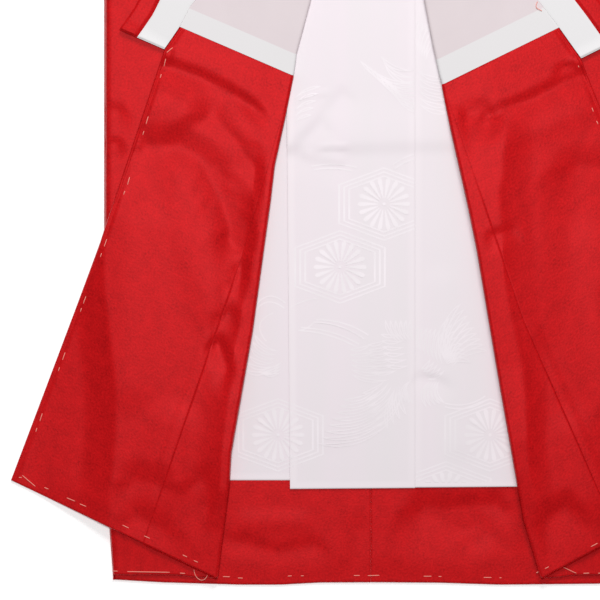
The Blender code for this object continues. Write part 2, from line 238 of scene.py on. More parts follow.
def add_uv(mesh, places):
    """Lay a mesh's cloth coordinates, run and row in metres, from the row and run of each point."""
    loops = np.empty(len(mesh.loops), np.int32)
    mesh.loops.foreach_get("vertex_index", loops)
    uv = mesh.uv_layers.new(name="cloth")
    uv.data.foreach_set("uv", (places[loops][:, (1, 0)] * MM).astype(np.float32).ravel())


def thin_cloth(name, lengths, finish, marks={}):
    """A cloth piece as a thin closed shell. Each length of it is a flat bmesh with its right and wrong
    side, which are functions of row, run and dip that give points in metres. The finish is its material
    and a slot name, which is not used, and marks are values that its material reads, each a function of
    row and run."""
    points, corners, polygons = [], [], []
    count, area, whole_length = 0, 0.0, 0.0
    for flat, right_side, wrong_side in lengths:
        flat.verts.index_update()
        places = np.array([v.co[:] for v in flat.verts])
        faces = [[v.index for v in face.verts] for face in flat.faces]
        rim = [[v.index for v in edge.verts] for edge in flat.edges if len(edge.link_faces) == 1]
        area += sum(face.calc_area() for face in flat.faces)
        whole_length += np.ptp(places[:, 0])
        under = count + len(places)
        polygons += [[corner + count for corner in face] for face in faces]
        polygons += [[corner + under for corner in reversed(face)] for face in faces]
        polygons += [[a + count, b + count, b + under, a + under] for a, b in rim]
        points += [right_side(*places.T), wrong_side(*places.T)]
        corners += [places, places]
        count = under + len(places)
        flat.free()
    corners = np.vstack(corners)
    mesh = bpy.data.meshes.new(name)
    mesh.from_pydata(np.vstack(points).tolist(), [], polygons)
    shell = bmesh.new()
    shell.from_mesh(mesh)
    bmesh.ops.recalc_face_normals(shell, faces=shell.faces)
    shell.to_mesh(mesh)
    shell.free()
    add_uv(mesh, corners)
    for mark, value_at in marks.items():
        values = value_at(corners[:, 0], corners[:, 1]).astype(np.float32)
        mesh.attributes.new(mark, "FLOAT", "POINT").data.foreach_set("value", values)
    mesh.polygons.foreach_set("use_smooth", np.ones(len(mesh.polygons), bool))
    mesh.set_sharp_from_angle(angle=SHARP_ANGLE)
    mesh.materials.append(finish[0])
    piece = placed(name + "_cloth", mesh)
    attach(piece, "root")
    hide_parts(name)


def add(tree, kind, settings={}, links={}):
    """A new node, with its settings and inputs by name or number, and what feeds it: a socket, or a node
    for its first socket."""
    node = tree.nodes.new(kind)
    for name, value in settings.items():
        if isinstance(name, str) and name in node.bl_rna.properties:
            setattr(node, name, value)
        else:
            node.inputs[name].default_value = value
    for name, source in links.items():
        tree.links.new(getattr(source, "outputs", [source])[0], node.inputs[name])
    return node


def woven(name, values, weave, bump):
    """A cloth's material, whose threads stand up by its weave. Silk threads are about 0.1 mm apart, too
    fine to show, so the grain is drawn about 2 mm coarse."""
    material, tree, shader = finished(name, values)
    cloth = add(tree, "ShaderNodeUVMap", {"uv_map": "cloth"})
    grain = add(tree, "ShaderNodeTexNoise", {"Detail": 2.0, **weave}, {"Vector": cloth})
    threads = add(tree, "ShaderNodeBump", bump, {"Height": grain})
    tree.links.new(threads.outputs[0], shader.inputs["Normal"])
    return material, tree, shader, cloth, grain


# Figured silk satin, woven and dyed: a soft broad shine from its floating threads, a fine speckled grain,
# and a ground figure that shows only as clusters of small darker specks, because the photo blurs it. The
# specks are about 2.5 mm apart, in clusters about 20 mm wide.
def red_silk(name):
    material, tree, shader, cloth, grain = woven(
        name, {"Roughness": 0.4, "Specular IOR Level": 0.6, "Specular Tint": linear("#FF5A5E")},
        {"Scale": 560.0, "Roughness": 0.7}, {"Strength": 0.25, "Distance": 0.0003},
    )
    cells = add(tree, "ShaderNodeTexVoronoi", {"Scale": 400.0, "Randomness": 0.8}, {"Vector": cloth})
    speck = add(tree, "ShaderNodeMapRange", {"From Min": 0.5, "From Max": 0.15}, {"Value": cells})
    patches = add(tree, "ShaderNodeTexNoise", {"Scale": 52.0, "Detail": 3.0}, {"Vector": cloth})
    cluster = add(tree, "ShaderNodeMapRange", {"From Min": 0.5, "From Max": 0.66}, {"Value": patches})
    figure = add(tree, "ShaderNodeMath", {"operation": "MULTIPLY"}, {0: speck, 1: cluster})
    mottle = add(tree, "ShaderNodeTexNoise", {"Scale": 90.0, "Detail": 2.0}, {"Vector": cloth})
    uneven = add(tree, "ShaderNodeMath", {"operation": "MULTIPLY_ADD", 1: 0.4}, {0: mottle, 2: grain})
    spread = add(tree, "ShaderNodeMapRange", {"From Min": 0.46, "From Max": 0.98}, {"Value": uneven})
    depth = add(tree, "ShaderNodeMath", {"operation": "MULTIPLY_ADD", 1: 0.5}, {0: figure, 2: spread})
    dyed = {"data_type": "RGBA", 6: linear("#D01418"), 7: linear("#A00A0E")}
    colour = add(tree, "ShaderNodeMix", dyed, {0: depth})
    tree.links.new(colour.outputs[2], shader.inputs["Base Color"])
    return material


OUTER_SILK = (red_silk("red_figured_silk"), "red_outer_silk")
LINING_SILK = (red_silk("red_lining_silk"), "red_lining_silk")


def strip_level(x, height):
    """How far the exposed lining of the back stands above its level."""
    shown = eased(height, *STRIP_TOP) * eased(height, *STRIP_HEM) * eased(np.abs(x), *STRIP_SIDE)
    return shown * (STRIP_PUFF + np.maximum(relief(STRIP_FOLDS, x, height), STRIP_DEEPEST))


for side, name in ((-1, "right"), (1, "left")):

    def back_x(row, out):
        return side * out * along(SIDE_SEAM, row) / BACK_HALF

    def back_point(row, out, z):
        x = back_x(row, out)
        base = along(HEM, x)
        return in_metres(x, base + (SHOULDER - base) * row / SHOULDER, z)

    def rim(row, out):
        side_rim = eased(out, BACK_HALF - SIDE_RIM, BACK_HALF)
        return np.maximum(side_rim, eased(row, SHOULDER - SIDE_RIM, SHOULDER))

    def lining_point(row, out, z):
        x = back_x(row, out)
        height = along(HEM, x) * eased(row, HEM_FADE, 0) + row
        return in_metres(x, height, z + strip_level(x, height))

    outs = spaced(SEAM_GAP, BACK_HALF, OUT_SPACING)
    thin_cloth(
        "back_" + name,
        [(
            flat_cloth(spaced(0, SHOULDER, ROW_SPACING), outs, sunk(outs, CENTRE_DIP)),
            lambda row, out, dip: back_point(row, out, BACK_LEVEL + RIM_RISE * rim(row, out) - dip),
            lambda row, out, dip: back_point(row, out, (RIM_RISE - RIM_WALL) * rim(row, out)),
        )],
        OUTER_SILK,
    )
    rows = spaced(LINING_START, BACK_LINING_TOP, LINING_SPACING)
    outs = spaced(SEAM_GAP, BACK_HALF - LINING_INSET, LINING_SPACING)
    dips = sunk(outs, *LINING_CENTRE_DIP) + rounded(rows - LINING_START, LINING_HEM_ROUND)[:, None]
    thin_cloth(
        "hakkake_back_" + name,
        [(
            flat_cloth(rows, outs, dips),
            lambda row, out, dip: lining_point(row, out, LINING_LEVEL - dip),
            lambda row, out, dip: lining_point(row, out, LINING_UNDER - dip),
        )],
        LINING_SILK,
    )

# The fronts
# Red outer panels: the body panel from the side seam, and the overlap panel (okumi) sewn to it. Each front
# is one flat cloth that is folded over at the crease, and rolls down to the back at the side and shoulder.
LAYER = 1.3
SEAM_LEVEL, FRONT_LEVEL, FOLD_LEVEL = 2 * LAYER, 5 * LAYER, 1.25
# A row is a thread that meets the crease at that height, a run is the cloth beyond the crease, below 0
# where it still lies over the back, and depth is measured from the fold's middle to the lining's side.
BEND, LAID, SIDE_ROLL = 4.0, 160.0, 6.0
OUTER_DEPTH, LINING_DEPTH, THIN = 0.25, 2.55, 0.35
# Each row: height, distance out where the turned part starts to fall over the side seam, share it falls
# at once
DROP = (
    (40, 219, 0.3), (76, 219, 0.4), (99, 217.6, 0.64), (127, 215.4, 0.72), (155, 215.4, 0.72),
    (177, 216.5, 0.7), (199, 219.5, 0.72), (222, 222.0, 0.74), (250, 225.5, 0.74),
)
DROP_WIDTH, REST_START, FALL_POWER = 27.0, 292.0, 1.6
FOLD_DEPTH, DEEPEST, FLOOR_SINK = 1.5, -3.0, 0.15
OUTER_SHARE, TROUGH_START, TROUGH_FULL = 0.35, 2.0, 16.0
PUFF, RIDGE_FADE = 1.2, 45.0
HEM_ROW, HEM_SINK, HEM_SINK_START = 5.0, 0.56, 83.0
HEM_LIFT, HEM_LIFT_RUNS, HEM_LIFT_START = 2.5, (10, 70), 60.0
SHOULDER_RAMP_START = 910.0
LIFT_ROWS, LIFT_FULL_OUT = (450.0, 700.0, 830.0, SHOULDER), 17.0
COLLAR_SKEW = 1.03
COLLAR_SEAM_TOP = ((820, 40), (970, 65), (1008, 58))
OKUMI_TIP, OKUMI_HEM_INSET, OKUMI_TUCK, OKUMI_TUCK_ROWS = 815.0, 2.0, 1.4, 4.0
SIDE_DIP, HEM_ROUND, SEAM_DIP, OKUMI_SEAM_DIP = (2.0, 2.4), 1.2, 0.4, 0.5
# Above FINE_TOP the rows are COARSER times as far apart, and the fine runs at a panel's edges draw
# together where it is narrower than NARROW
OUTER_SPACING, FINE_TOP, COARSER, NARROW = 4.0, 500.0, 2.4, 12.0
BEND_CUTS = (-6, -3, -1.2, 0, 0.5, 1.0, 1.5, 2.0, 2.5, 3.0, 3.5, 4.0, 5.2, 7, 10, 14, 18)
# Nicks at the side seam, and gentle waves of the body above. Each row: points as (out, height), half
# width, rise
LAID_FOLDS = (
    (((226, 373), (214, 372)), 5, -1.5),
    (((226, 401), (213, 400)), 7, -1.2),
    (((190, 640), (120, 600)), 26, 1.2),
    (((180, 820), (110, 760)), 30, 1.2),
    (((205, 520), (150, 540)), 20, 0.8),
)
# One front. Lines are points as (out, height) with the front closed for the crease and the inner seam, and
# as it lies for the seam and the tsuma, its front edge. The grain has the slope of its rows in degrees by
# height. The strip along the crease has rows of height, the run where the cloth starts to fall, the run
# where it has fallen, and how far. The folds have points as it lies, half width and rise.
Front = namedtuple(
    "Front", "name side crease grain seam inner_seam tsuma collar_row lining_row band lift strip folds"
)
RIGHT = Front(
    name="right",
    side=-1,
    crease=(
        (5, 128.6), (85, 118.5), (111, 117.0), (213, 99.2), (323, 84.0), (352, 80.7),
        (392, 72.0), (428, 64.7), (447, 62.2), (491, 50.4), (1010, -56.3),
    ),
    grain=((5, 25.3), (428, 23.3)),
    seam=((189.1, 41.2), (110.1, 270.6), (64.7, 427.7)),
    inner_seam=((428, 65.5), (600, 62), (820, 40), (970, 65)),
    tsuma=((301.3, 92), (228, 286), (173.1, 450.4)),
    collar_row=405.0,
    lining_row=427.7,
    band=18.0,
    lift=0.0,
    strip=(
        (45, 11, 32, 1.0), (66, 7, 30, 2.8), (79, 6, 35, 4.7), (113, 6, 39, 5.5), (155, 8, 40, 5.1),
        (197, 11, 33, 3.2), (239, 9, 30, 2.8), (289, 7, 31, 3.2), (323, 13, 42, 3.2), (352, 24, 56, 1.8),
        (380, 50, 80, 0.6), (400, 60, 90, 0.0),
    ),
    folds=(
        (((178, 405), (112, 375)), 32, 0.7),
        (((150, 345), (128, 235)), 36, 0.7),
        (((200, 300), (205, 170)), 34, 0.7),
        (((165, 130), (178, 80)), 32, 0.8),
        (((211, 467), (173, 444.5)), 11, 1.2),
        (((173, 439), (145, 429), (122, 417.5), (99, 403)), 8, -1.3),
        (((134, 400), (114.5, 378), (98, 351)), 21, -2.2),
        (((188, 373), (162, 373), (145, 363), (136, 352), (127, 334), (115, 310)), 19, -1.75),
        (((108, 301),), 13, -1.5),
        (((108, 268), (107, 262)), 11, -1.4),
        (((119, 231),), 10, -1.2),
        (((128, 205), (119, 184)), 8, -1.5),
        (((140, 92), (132, 80)), 14, -1.3),
        (((196, 92), (180, 90)), 18, -1.4),
        (((176, 50), (196, 62)), 14, -0.7),
    ),
)
LEFT = Front(
    name="left",
    side=1,
    crease=(
        (6, 142.0), (54, 127.7), (82, 122.7), (163, 108.4), (282, 88.2), (323, 79.8),
        (382, 66.5), (420, 59.0), (455, 51.3), (491, 44.5), (1010, -53.8),
    ),
    grain=((6, 28.2), (420, 26.1)),
    seam=((207.4, 40.8), (127.7, 221.8), (60.5, 420.2)),
    inner_seam=((420, 58.5), (600, 60), (820, 40), (970, 65)),
    tsuma=((313.0, 97.0), (176.5, 440.3)),
    collar_row=388.0,
    lining_row=420.2,
    band=21.0,
    lift=5.6,
    strip=(
        (43, 13, 34, 0.8), (65, 12, 36, 1.8), (93, 10, 31, 3.6), (121, 13, 31, 4.4), (150, 18, 37, 4.0),
        (182, 20, 42, 3.4), (222, 17, 43, 3.8), (260, 17, 46, 4.2), (295, 22, 50, 4.4), (328, 26, 56, 4.2),
        (344, 33, 60, 3.8), (384, 44, 68, 2.4), (404, 54, 84, 0.0),
    ),
    folds=(
        (((170, 405), (110, 380)), 32, 0.7),
        (((140, 340), (130, 220)), 36, 0.6),
        (((195, 290), (215, 165)), 34, 0.9),
        (((175, 125), (185, 75)), 32, 0.8),
        (((213, 458), (176, 440)), 11, 1.0),
        (((100, 396), (115, 402), (137, 411), (158, 422), (178, 429)), 8.5, -1.45),
        (((80, 397), (94, 400)), 12, -1.3),
        (((160, 435), (171, 436)), 4.5, -0.8),
        (((99, 294), (118, 300)), 5, -0.8),
        (((138, 50), (149, 61), (163, 70)), 13, -1.6),
        (((174, 357), (205, 353)), 20, -1.3),
        (((205, 250), (214, 160), (224, 100)), 14, -0.8),
    ),
)


def falling(value, start, end):
    """How far values have gone from start to end, from 0 to 1, leaving at once and arriving gently."""
    return 1 - (1 - np.clip((value - start) / (end - start), 0, 1)) ** FALL_POWER


def grain_of(front, row):
    return np.radians(along(front.grain, row))


def crease_out(front, row):
    """The middle of the fold, which lies the fold's depth inside the crease that shows."""
    return along(front.crease, row) + LINING_DEPTH * np.cos(grain_of(front, row) / 2)


def run_of(front, row, out):
    """The run along a row of a seam that would lie this far out with the front closed."""
    crease = crease_out(front, row)
    beyond = crease - out
    return np.where(beyond >= 0, beyond, beyond * LAID / (along(SIDE_SEAM, row) - crease))


def line_run(front, row, line):
    """The run along a row to a line on the turned part, drawn outwards-curving through points."""
    across, up = np.cos(grain_of(front, row)), np.sin(grain_of(front, row))
    runs = []
    for (low_out, low_up), (top_out, top_up) in zip(line, line[1:]):
        edge_out, edge_up = top_out - low_out, top_up - low_up
        from_out, from_up = low_out - crease_out(front, row), low_up - row
        runs.append((from_out * edge_up - from_up * edge_out) / (across * edge_up - up * edge_out))
    return BEND + np.max(runs, axis=0)


def seam_run(front, row):
    """The run along a row to the seam between the body panel and the overlap panel."""
    laid = run_of(front, row, along(front.inner_seam, row))
    return np.where(row < front.lining_row, line_run(front, row, front.seam), laid)


def collar_run(front, row, across):
    """The run to a line this far across the collar from its seam."""
    start = front.collar_row
    foot = (start, float(crease_out(front, start) - line_run(front, start, front.tsuma)))
    return run_of(front, row, along((foot, *COLLAR_SEAM_TOP), row) - across * COLLAR_SKEW)


def front_edge(front, row):
    """The run to the overlap panel's front edge: the tsuma, and above it the collar's seam."""
    seam = collar_run(front, row, 0) - SEAM_GAP
    return np.where(row <= front.collar_row, line_run(front, row, front.tsuma), seam)


def fold_level(front, out, height, seam_part):
    """The height of the fold's middle above the floor."""
    hem = 1 - HEM_SINK * eased(height, HEM_SINK_START, HEM_ROW)
    shoulder = 1 - eased(height, SHOULDER_RAMP_START, SHOULDER)
    start, full, end, none = LIFT_ROWS
    crossing = np.minimum(eased(height, start, full), 1 - eased(height, end, none))
    lift = front.lift * crossing * np.clip(BACK_HALF - out, 0, None) / (BACK_HALF - LIFT_FULL_OUT)
    return SEAM_LEVEL + (FRONT_LEVEL - SEAM_LEVEL) * seam_part * hem * shoulder + FOLD_LEVEL + lift


def turned_level(front, out, height, turned, depth):
    """The height of a point of the turned part, this far beyond the bend. The lining follows every fold,
    and the outer cloth under it hardly sinks into the troughs."""
    start, share = columns_at(DROP, height)
    drop = share * falling(out, start, start + DROP_WIDTH) + (1 - share) * eased(out, start, REST_START)
    under = (fold_level(front, out, height, 1) + OUTER_DEPTH) * (1 - drop)
    folds = np.maximum(FOLD_DEPTH * relief(front.folds, out, height), DEEPEST)
    inwards = eased(turned, 0, RIDGE_FADE)
    followed = OUTER_SHARE + (1 - OUTER_SHARE) * depth / LINING_DEPTH
    fade = np.where(folds < 0, eased(turned, TROUGH_START, TROUGH_FULL) * followed, inwards)
    near, far, rise = columns_at(front.strip, height)
    raised = rise * (1 - falling(turned, near, far)) + PUFF * (1 - drop) * inwards
    return np.maximum(under + folds * fade + raised + depth - OUTER_DEPTH, depth - FLOOR_SINK)


def laid_level(front, out, height):
    """The level of the part that still lies over the back, which rolls down to the side seam."""
    risen = 1 - (1 - np.clip((along(SIDE_SEAM, height) - out) / SIDE_ROLL, 0, 1)) ** 3
    return fold_level(front, out, height, risen) + relief(LAID_FOLDS, out, height)


def lie(front, row, run, depth):
    """Points of a front's cloth where it lies, in metres."""
    crease, grain = crease_out(front, row), grain_of(front, row)
    laid_out = crease - run / LAID * (along(SIDE_SEAM, row) - crease)
    laid = laid_level(front, laid_out, row) - depth
    hem_lift = HEM_LIFT * eased(-run, *HEM_LIFT_RUNS) * eased(row, HEM_LIFT_START, HEM_ROW)
    turn = pi * np.clip(run / BEND, 0, 1)
    reach = depth * np.sin(turn)
    bent = fold_level(front, crease, row, 1) - depth * np.cos(turn)
    bent += columns_at(front.strip, row)[2] * (1 - np.cos(turn)) / 2
    turned = np.maximum(run - BEND, 0)
    turned_out, turned_up = crease + turned * np.cos(grain), row + turned * np.sin(grain)
    over = turned_level(front, turned_out, turned_up, turned, depth)
    parts = [run <= 0, run < BEND]
    out = np.select(parts, [laid_out, crease - reach * np.cos(grain / 2)], turned_out)
    height = np.select(parts, [row + hem_lift, row - reach * np.sin(grain / 2)], turned_up)
    return in_metres(front.side * out, height, np.select(parts, [laid, bent], over))


def columns_between(low, high, spacing):
    """Runs across a panel between two edges, each an array along its rows."""
    width = float(np.max(high - low))
    parts = spaced(0, width, spacing)
    fine = len(FINE_OFFSETS)
    inner = (parts - parts[fine - 1]) / (parts[-fine] - parts[fine - 1])
    scale = np.minimum(1, (high - low) / NARROW)[:, None]
    first, last = low[:, None] + parts[fine - 1] * scale, high[:, None] - (width - parts[-fine]) * scale
    runs = first + (last - first) * inner[None, :]
    runs[:, :fine] = low[:, None] + parts[None, :fine] * scale
    runs[:, -fine:] = high[:, None] - (width - parts[None, -fine:]) * scale
    return runs


def front_rows(low, high, spacing=SPACING):
    """Rows of a front: close together over the lower half, and wider apart above."""
    if high <= FINE_TOP:
        return spaced(low, high, spacing)
    lower = spaced(low, FINE_TOP, spacing, True, False)
    return np.concatenate([lower[:-1], spaced(FINE_TOP, high, COARSER * spacing, False, True)])


def front_cloth(
    node, front, rows, low, high, depths, dip, finish, spacing, keep_from=None, marks={},
):
    """A panel of a front. depths are the right side's and the wrong side's, and dip gives how far the
    panel dips, from its rows and its distance from the low and the high edge."""
    runs = columns_between(low, high, spacing)
    dips = dip(rows[:, None], runs - low[:, None], high[:, None] - runs)
    inwards = 1 if depths[1] > depths[0] else -1
    thin_cloth(
        f"{node}_{front.name}",
        [(
            flat_cloth(rows, runs, dips, BEND_CUTS, keep_from),
            lambda row, run, sink: lie(front, row, run, depths[0] + inwards * sink),
            lambda row, run, sink: lie(front, row, run, depths[1] + inwards * sink),
        )],
        finish, marks,
    )


def side_dips(row, low, high):
    """The body panel's dips: deep at the side seam and the shoulder, round at the hem, slight at its seam."""
    rolled = np.maximum(sunk(low, *SIDE_DIP), sunk(SHOULDER - row, *SIDE_DIP))
    return np.maximum(rolled, rounded(row - HEM_ROW, HEM_ROUND)) + sunk(high, SEAM_DIP)


for front in (RIGHT, LEFT):
    depths = (OUTER_DEPTH, OUTER_DEPTH + THIN)
    rows = front_rows(HEM_ROW, SHOULDER, OUTER_SPACING)
    low, high = np.full(len(rows), -LAID), seam_run(front, rows) - SEAM_GAP
    front_cloth(
        "front", front, rows, low, high, depths, side_dips, OUTER_SILK, OUTER_SPACING,
    )
    rows = front_rows(HEM_ROW + OKUMI_HEM_INSET, OKUMI_TIP, OUTER_SPACING)
    tucked = OKUMI_TUCK * (1 - eased(rows, front.collar_row, front.collar_row + OKUMI_TUCK_ROWS))
    low, high = seam_run(front, rows) + SEAM_GAP, front_edge(front, rows) - tucked
    front_cloth(
        "okumi", front, rows, low, high, depths, lambda row, low, high: sunk(low, OKUMI_SEAM_DIP),
        OUTER_SILK, OUTER_SPACING,
    )

# The lining of the fronts
# Red lower lining (hakkake) in two panels, and above it the thin pale upper lining (do-ura), whose seam
# allowance shows as a whiter band along the seam. The red edge is doubled, so it stands a little higher.
LINING_HEM, LINING_RETURN, EDGE_ROUND, EDGE_INSET = HEM_ROW + 0.6, -12.0, 1.8, 0.1
BODY_SIDE_DIP, OKUMI_SIDE_DIP, TOP_DIP = (0.3, 1.0), (0.15, 0.6), (0.4, 0.9)
# The seam between the panels is flatter above, and the edge is doubled only below
FLATTER, FLATTER_ROWS = 0.8, (290, 350)
DOUBLED_WIDTH, DOUBLED_STEP, DOUBLED_RISE, DOUBLED_ROWS = 9.7, 1.2, 0.35, (210, 190)
BEAD_AT, BEAD_WIDTH, BEAD_DIP = 2.9, 0.6, 0.45
PALE_SEAM_DIP, PALE_EDGE_DIP = 0.3, 0.15

# Thin plain-woven silk, undyed: matt, greyish where it is single and whiter where its edge is doubled.
pale_lining, tree, shader, cloth, _ = woven(
    "thin_pale_silk", {"Roughness": 0.75, "Specular IOR Level": 0.3},
    {"Scale": 600.0}, {"Strength": 0.12, "Distance": 0.0002},
)
band = add(tree, "ShaderNodeAttribute", {"attribute_name": "band"}).outputs["Fac"]
doubled = add(tree, "ShaderNodeMapRange", {"From Min": -0.2, "From Max": 0.4}, {"Value": band})
haze = add(tree, "ShaderNodeTexNoise", {"Scale": 22.0, "Detail": 3.0}, {"Vector": cloth})
greys = {"data_type": "RGBA", 6: linear("#E4D8DB"), 7: linear("#DACDD0")}
single = add(tree, "ShaderNodeMix", greys, {0: haze})
whiter = {"data_type": "RGBA", 7: linear("#E4E1E2")}
colour = add(tree, "ShaderNodeMix", whiter, {0: doubled, 6: single.outputs[2]})
tree.links.new(colour.outputs[2], shader.inputs["Base Color"])

for front in (RIGHT, LEFT):
    split = front.lining_row

    def ends(row):
        return np.maximum(rounded(row - LINING_HEM, EDGE_ROUND), sunk(split - row, *TOP_DIP))

    def seam_depth(row):
        return 1 - FLATTER * eased(row, *FLATTER_ROWS)

    def hemmed(row, low, high):
        return sunk(high, *BODY_SIDE_DIP) * seam_depth(row) + ends(row)

    def edged(row, low, high):
        single = eased(low, DOUBLED_WIDTH - DOUBLED_STEP, DOUBLED_WIDTH)
        doubled = DOUBLED_RISE * (1 - single) * eased(row, *DOUBLED_ROWS)
        groove = BEAD_DIP * np.exp(-(((high - BEAD_AT) / BEAD_WIDTH) ** 2))
        bead = np.maximum(rounded(high, EDGE_ROUND), groove)
        return sunk(low, *OKUMI_SIDE_DIP) * seam_depth(row) - doubled + np.maximum(bead, ends(row))

    depths = (LINING_DEPTH, LINING_DEPTH - THIN)
    rows = front_rows(LINING_HEM, split - SEAM_GAP)
    seam, edge = seam_run(front, rows), front_edge(front, rows) - EDGE_INSET
    front_cloth(
        "hakkake_front", front, rows, np.full(len(rows), -LAID), seam - SEAM_GAP, depths, hemmed,
        LINING_SILK, SPACING, LINING_RETURN,
    )
    front_cloth(
        "hakkake_okumi", front, rows, seam + SEAM_GAP, edge, depths, edged, LINING_SILK, SPACING,
    )
    rows = front_rows(split + SEAM_GAP, OKUMI_TIP)
    front_cloth(
        "doura_okumi", front, rows, seam_run(front, rows) + SEAM_GAP, front_edge(front, rows), depths,
        lambda row, low, high: sunk(low, PALE_SEAM_DIP) + sunk(high, PALE_EDGE_DIP),
        (pale_lining, "sheer_lining_silk"), SPACING, LINING_RETURN,
        {"band": lambda row, run: split + front.band - row},
    )

# The collar
# One strip of the red silk, sewn to both front edges and round the neck, 40 mm wide. Its free edge is
# folded in over part of its white lining, and each of its ends is turned in.
COLLAR, COLLAR_LINING, COLLAR_TOP = 40.0, 24.0, 1008.0
COLLAR_FILL, FOLDED_STEP, FOLDED_DIP, TAIL_DIP = 0.9, 0.9, (0.7, 1.6), (0.8, 2.0)
LINING_SINK, LINING_LAP, LINING_DIPS, LINING_TAIL_DIP = 0.05, 0.1, (0.15, 0.5), (1.1, 1.8)
COLLAR_SPACING = 2.5
NECK_HALF, NECK_TOP_HALF, NECK_START, NECK_TOP = 62.0, 50.0, SHOULDER + 0.3, 1010.0
NECK_LEVEL, NECK_DIP = 1.1, (0.5, 2.0)

# Thin plain-woven silk, bleached: matt and evenly white.
WHITE_LINING = (woven(
    "white_plain_silk", {"Base Color": linear("#E4E2E3"), "Roughness": 0.6, "Sheen Weight": 0.1},
    {"Scale": 500.0}, {"Strength": 0.15, "Distance": 0.0002},
)[0], "white_silk")

for front in (RIGHT, LEFT):
    rows = front_rows(front.collar_row, COLLAR_TOP)
    above = rows[:, None] - front.collar_row
    offsets = spaced(SEAM_GAP, COLLAR, COLLAR_SPACING)
    runs = np.stack([collar_run(front, rows, offset) for offset in offsets], axis=1)
    folded = eased(offsets, COLLAR_LINING, COLLAR_LINING + FOLDED_STEP)
    fill = folded * (LINING_DEPTH - COLLAR_FILL - sunk(COLLAR - offsets, *FOLDED_DIP))
    thin_cloth(
        "collar_" + front.name,
        [(
            flat_cloth(rows, runs, fill * (1 - sunk(above, *TAIL_DIP)), BEND_CUTS),
            lambda row, run, fill: lie(front, row, run, OUTER_DEPTH),
            lambda row, run, fill: lie(front, row, run, COLLAR_FILL + fill),
        )],
        OUTER_SILK,
    )
    offsets = spaced(SEAM_GAP, COLLAR_LINING + LINING_LAP, COLLAR_SPACING)
    runs = np.stack([collar_run(front, rows, offset) for offset in offsets], axis=1)
    edges = sunk(offsets - SEAM_GAP, LINING_DIPS[0]) + sunk(COLLAR_LINING - offsets, LINING_DIPS[1])
    dips = np.maximum(edges, sunk(above, *LINING_TAIL_DIP))
    depth = LINING_DEPTH - LINING_SINK
    thin_cloth(
        "collar_lining_" + front.name,
        [(
            flat_cloth(rows, runs, dips, BEND_CUTS, LINING_RETURN),
            lambda row, run, dip: lie(front, row, run, depth - dip),
            lambda row, run, dip: lie(front, row, run, depth - THIN - dip),
        )],
        WHITE_LINING,
    )


def neck_point(row, part, z):
    half = np.interp(row, (SHOULDER, NECK_TOP), (NECK_HALF, NECK_TOP_HALF))
    return in_metres(part * half / NECK_HALF, row, z)


rows = spaced(NECK_START, NECK_TOP)
dips = sunk(rows - NECK_START, *NECK_DIP) + sunk(NECK_TOP - rows, *NECK_DIP)
thin_cloth(
    "collar_neck",
    [(
        flat_cloth(rows, spaced(-NECK_HALF, NECK_HALF, SPACING, False, False), dips[:, None]),
        lambda row, part, dip: neck_point(row, part, NECK_LEVEL - dip),
        lambda row, part, dip: neck_point(row, part, 0.0),
    )],
    OUTER_SILK,
)

# The sleeves
# Each is one width of red silk folded at the shoulder, sewn along its lower edge and round its corner up
# to the wrist opening, and sewn to the body. It is laid flat and stays open towards the body.
SLEEVE_REACH, SLEEVE_DROP, SLEEVE_CORNER = 430.0, 450.0, 60.0
# At the wrist opening the two halves aren't rolled together, as if the edge lay further out
WRIST_OPENING, FURTHER_OUT, OPENS_OVER = 135.0, 40.0, 12.0
SLEEVE_TOP, SLEEVE_ROLL, SLEEVE_WALL, SWELL_FULL = 3.6, 3.0, 0.4, 30.0
SLEEVE_SPACING, CORNER_ROWS = 6.0, 22
# Each row: points as (out, height), half width, rise
SLEEVE_FOLDS = (
    (((260, 900), (300, 700), (310, 600)), 22, 1.6),
    (((400, 880), (370, 760), (375, 640)), 20, 1.3),
    (((330, 930), (345, 800)), 16, -1.0),
)
bottom = SHOULDER - SLEEVE_DROP


def sleeve_edge(height):
    """How far out the sleeve reaches at a height, round its lower corner."""
    up = np.clip(height - bottom, 0, SLEEVE_CORNER)
    return SLEEVE_REACH - SLEEVE_CORNER + np.sqrt(SLEEVE_CORNER ** 2 - (SLEEVE_CORNER - up) ** 2)


def sleeve_point(side, half, row, out, inset):
    """A point of the sleeve's upper half (1) or lower half (-1), rounded where it is sewn or folded."""
    opening = eased(row - SHOULDER + WRIST_OPENING, 0, OPENS_OVER)
    from_wrist = sleeve_edge(row) - out + FURTHER_OUT * opening
    closed = np.minimum(from_wrist, np.minimum(SHOULDER - row, row - bottom))
    roll = np.sqrt(1 - (1 - np.clip(closed / SLEEVE_ROLL, 0, 1)) ** 2)
    swell = relief(SLEEVE_FOLDS, out, row) * np.clip(closed / SWELL_FULL, 0, 1) * (half > 0)
    return in_metres(side * out, row, SLEEVE_TOP / 2 + half * (SLEEVE_TOP / 2 - inset) * roll + swell)


corner_rows = bottom + SLEEVE_CORNER * (1 - np.cos(np.linspace(0, pi / 2, CORNER_ROWS)))
upper_rows = spaced(bottom + SLEEVE_CORNER, SHOULDER, SLEEVE_SPACING, False)
rows = np.concatenate([corner_rows, upper_rows[1:]])
runs = columns_between(np.full(len(rows), BACK_HALF + SEAM_GAP), sleeve_edge(rows), SLEEVE_SPACING)
for side, name in ((-1, "right"), (1, "left")):
    thin_cloth(
        "sleeve_" + name,
        [
            (
                flat_cloth(rows, runs, 0.0),
                lambda row, out, dip, half=half: sleeve_point(side, half, row, out, 0.0),
                lambda row, out, dip, half=half: sleeve_point(side, half, row, out, SLEEVE_WALL),
            )
            for half in (1, -1)
        ],
        OUTER_SILK,
    )

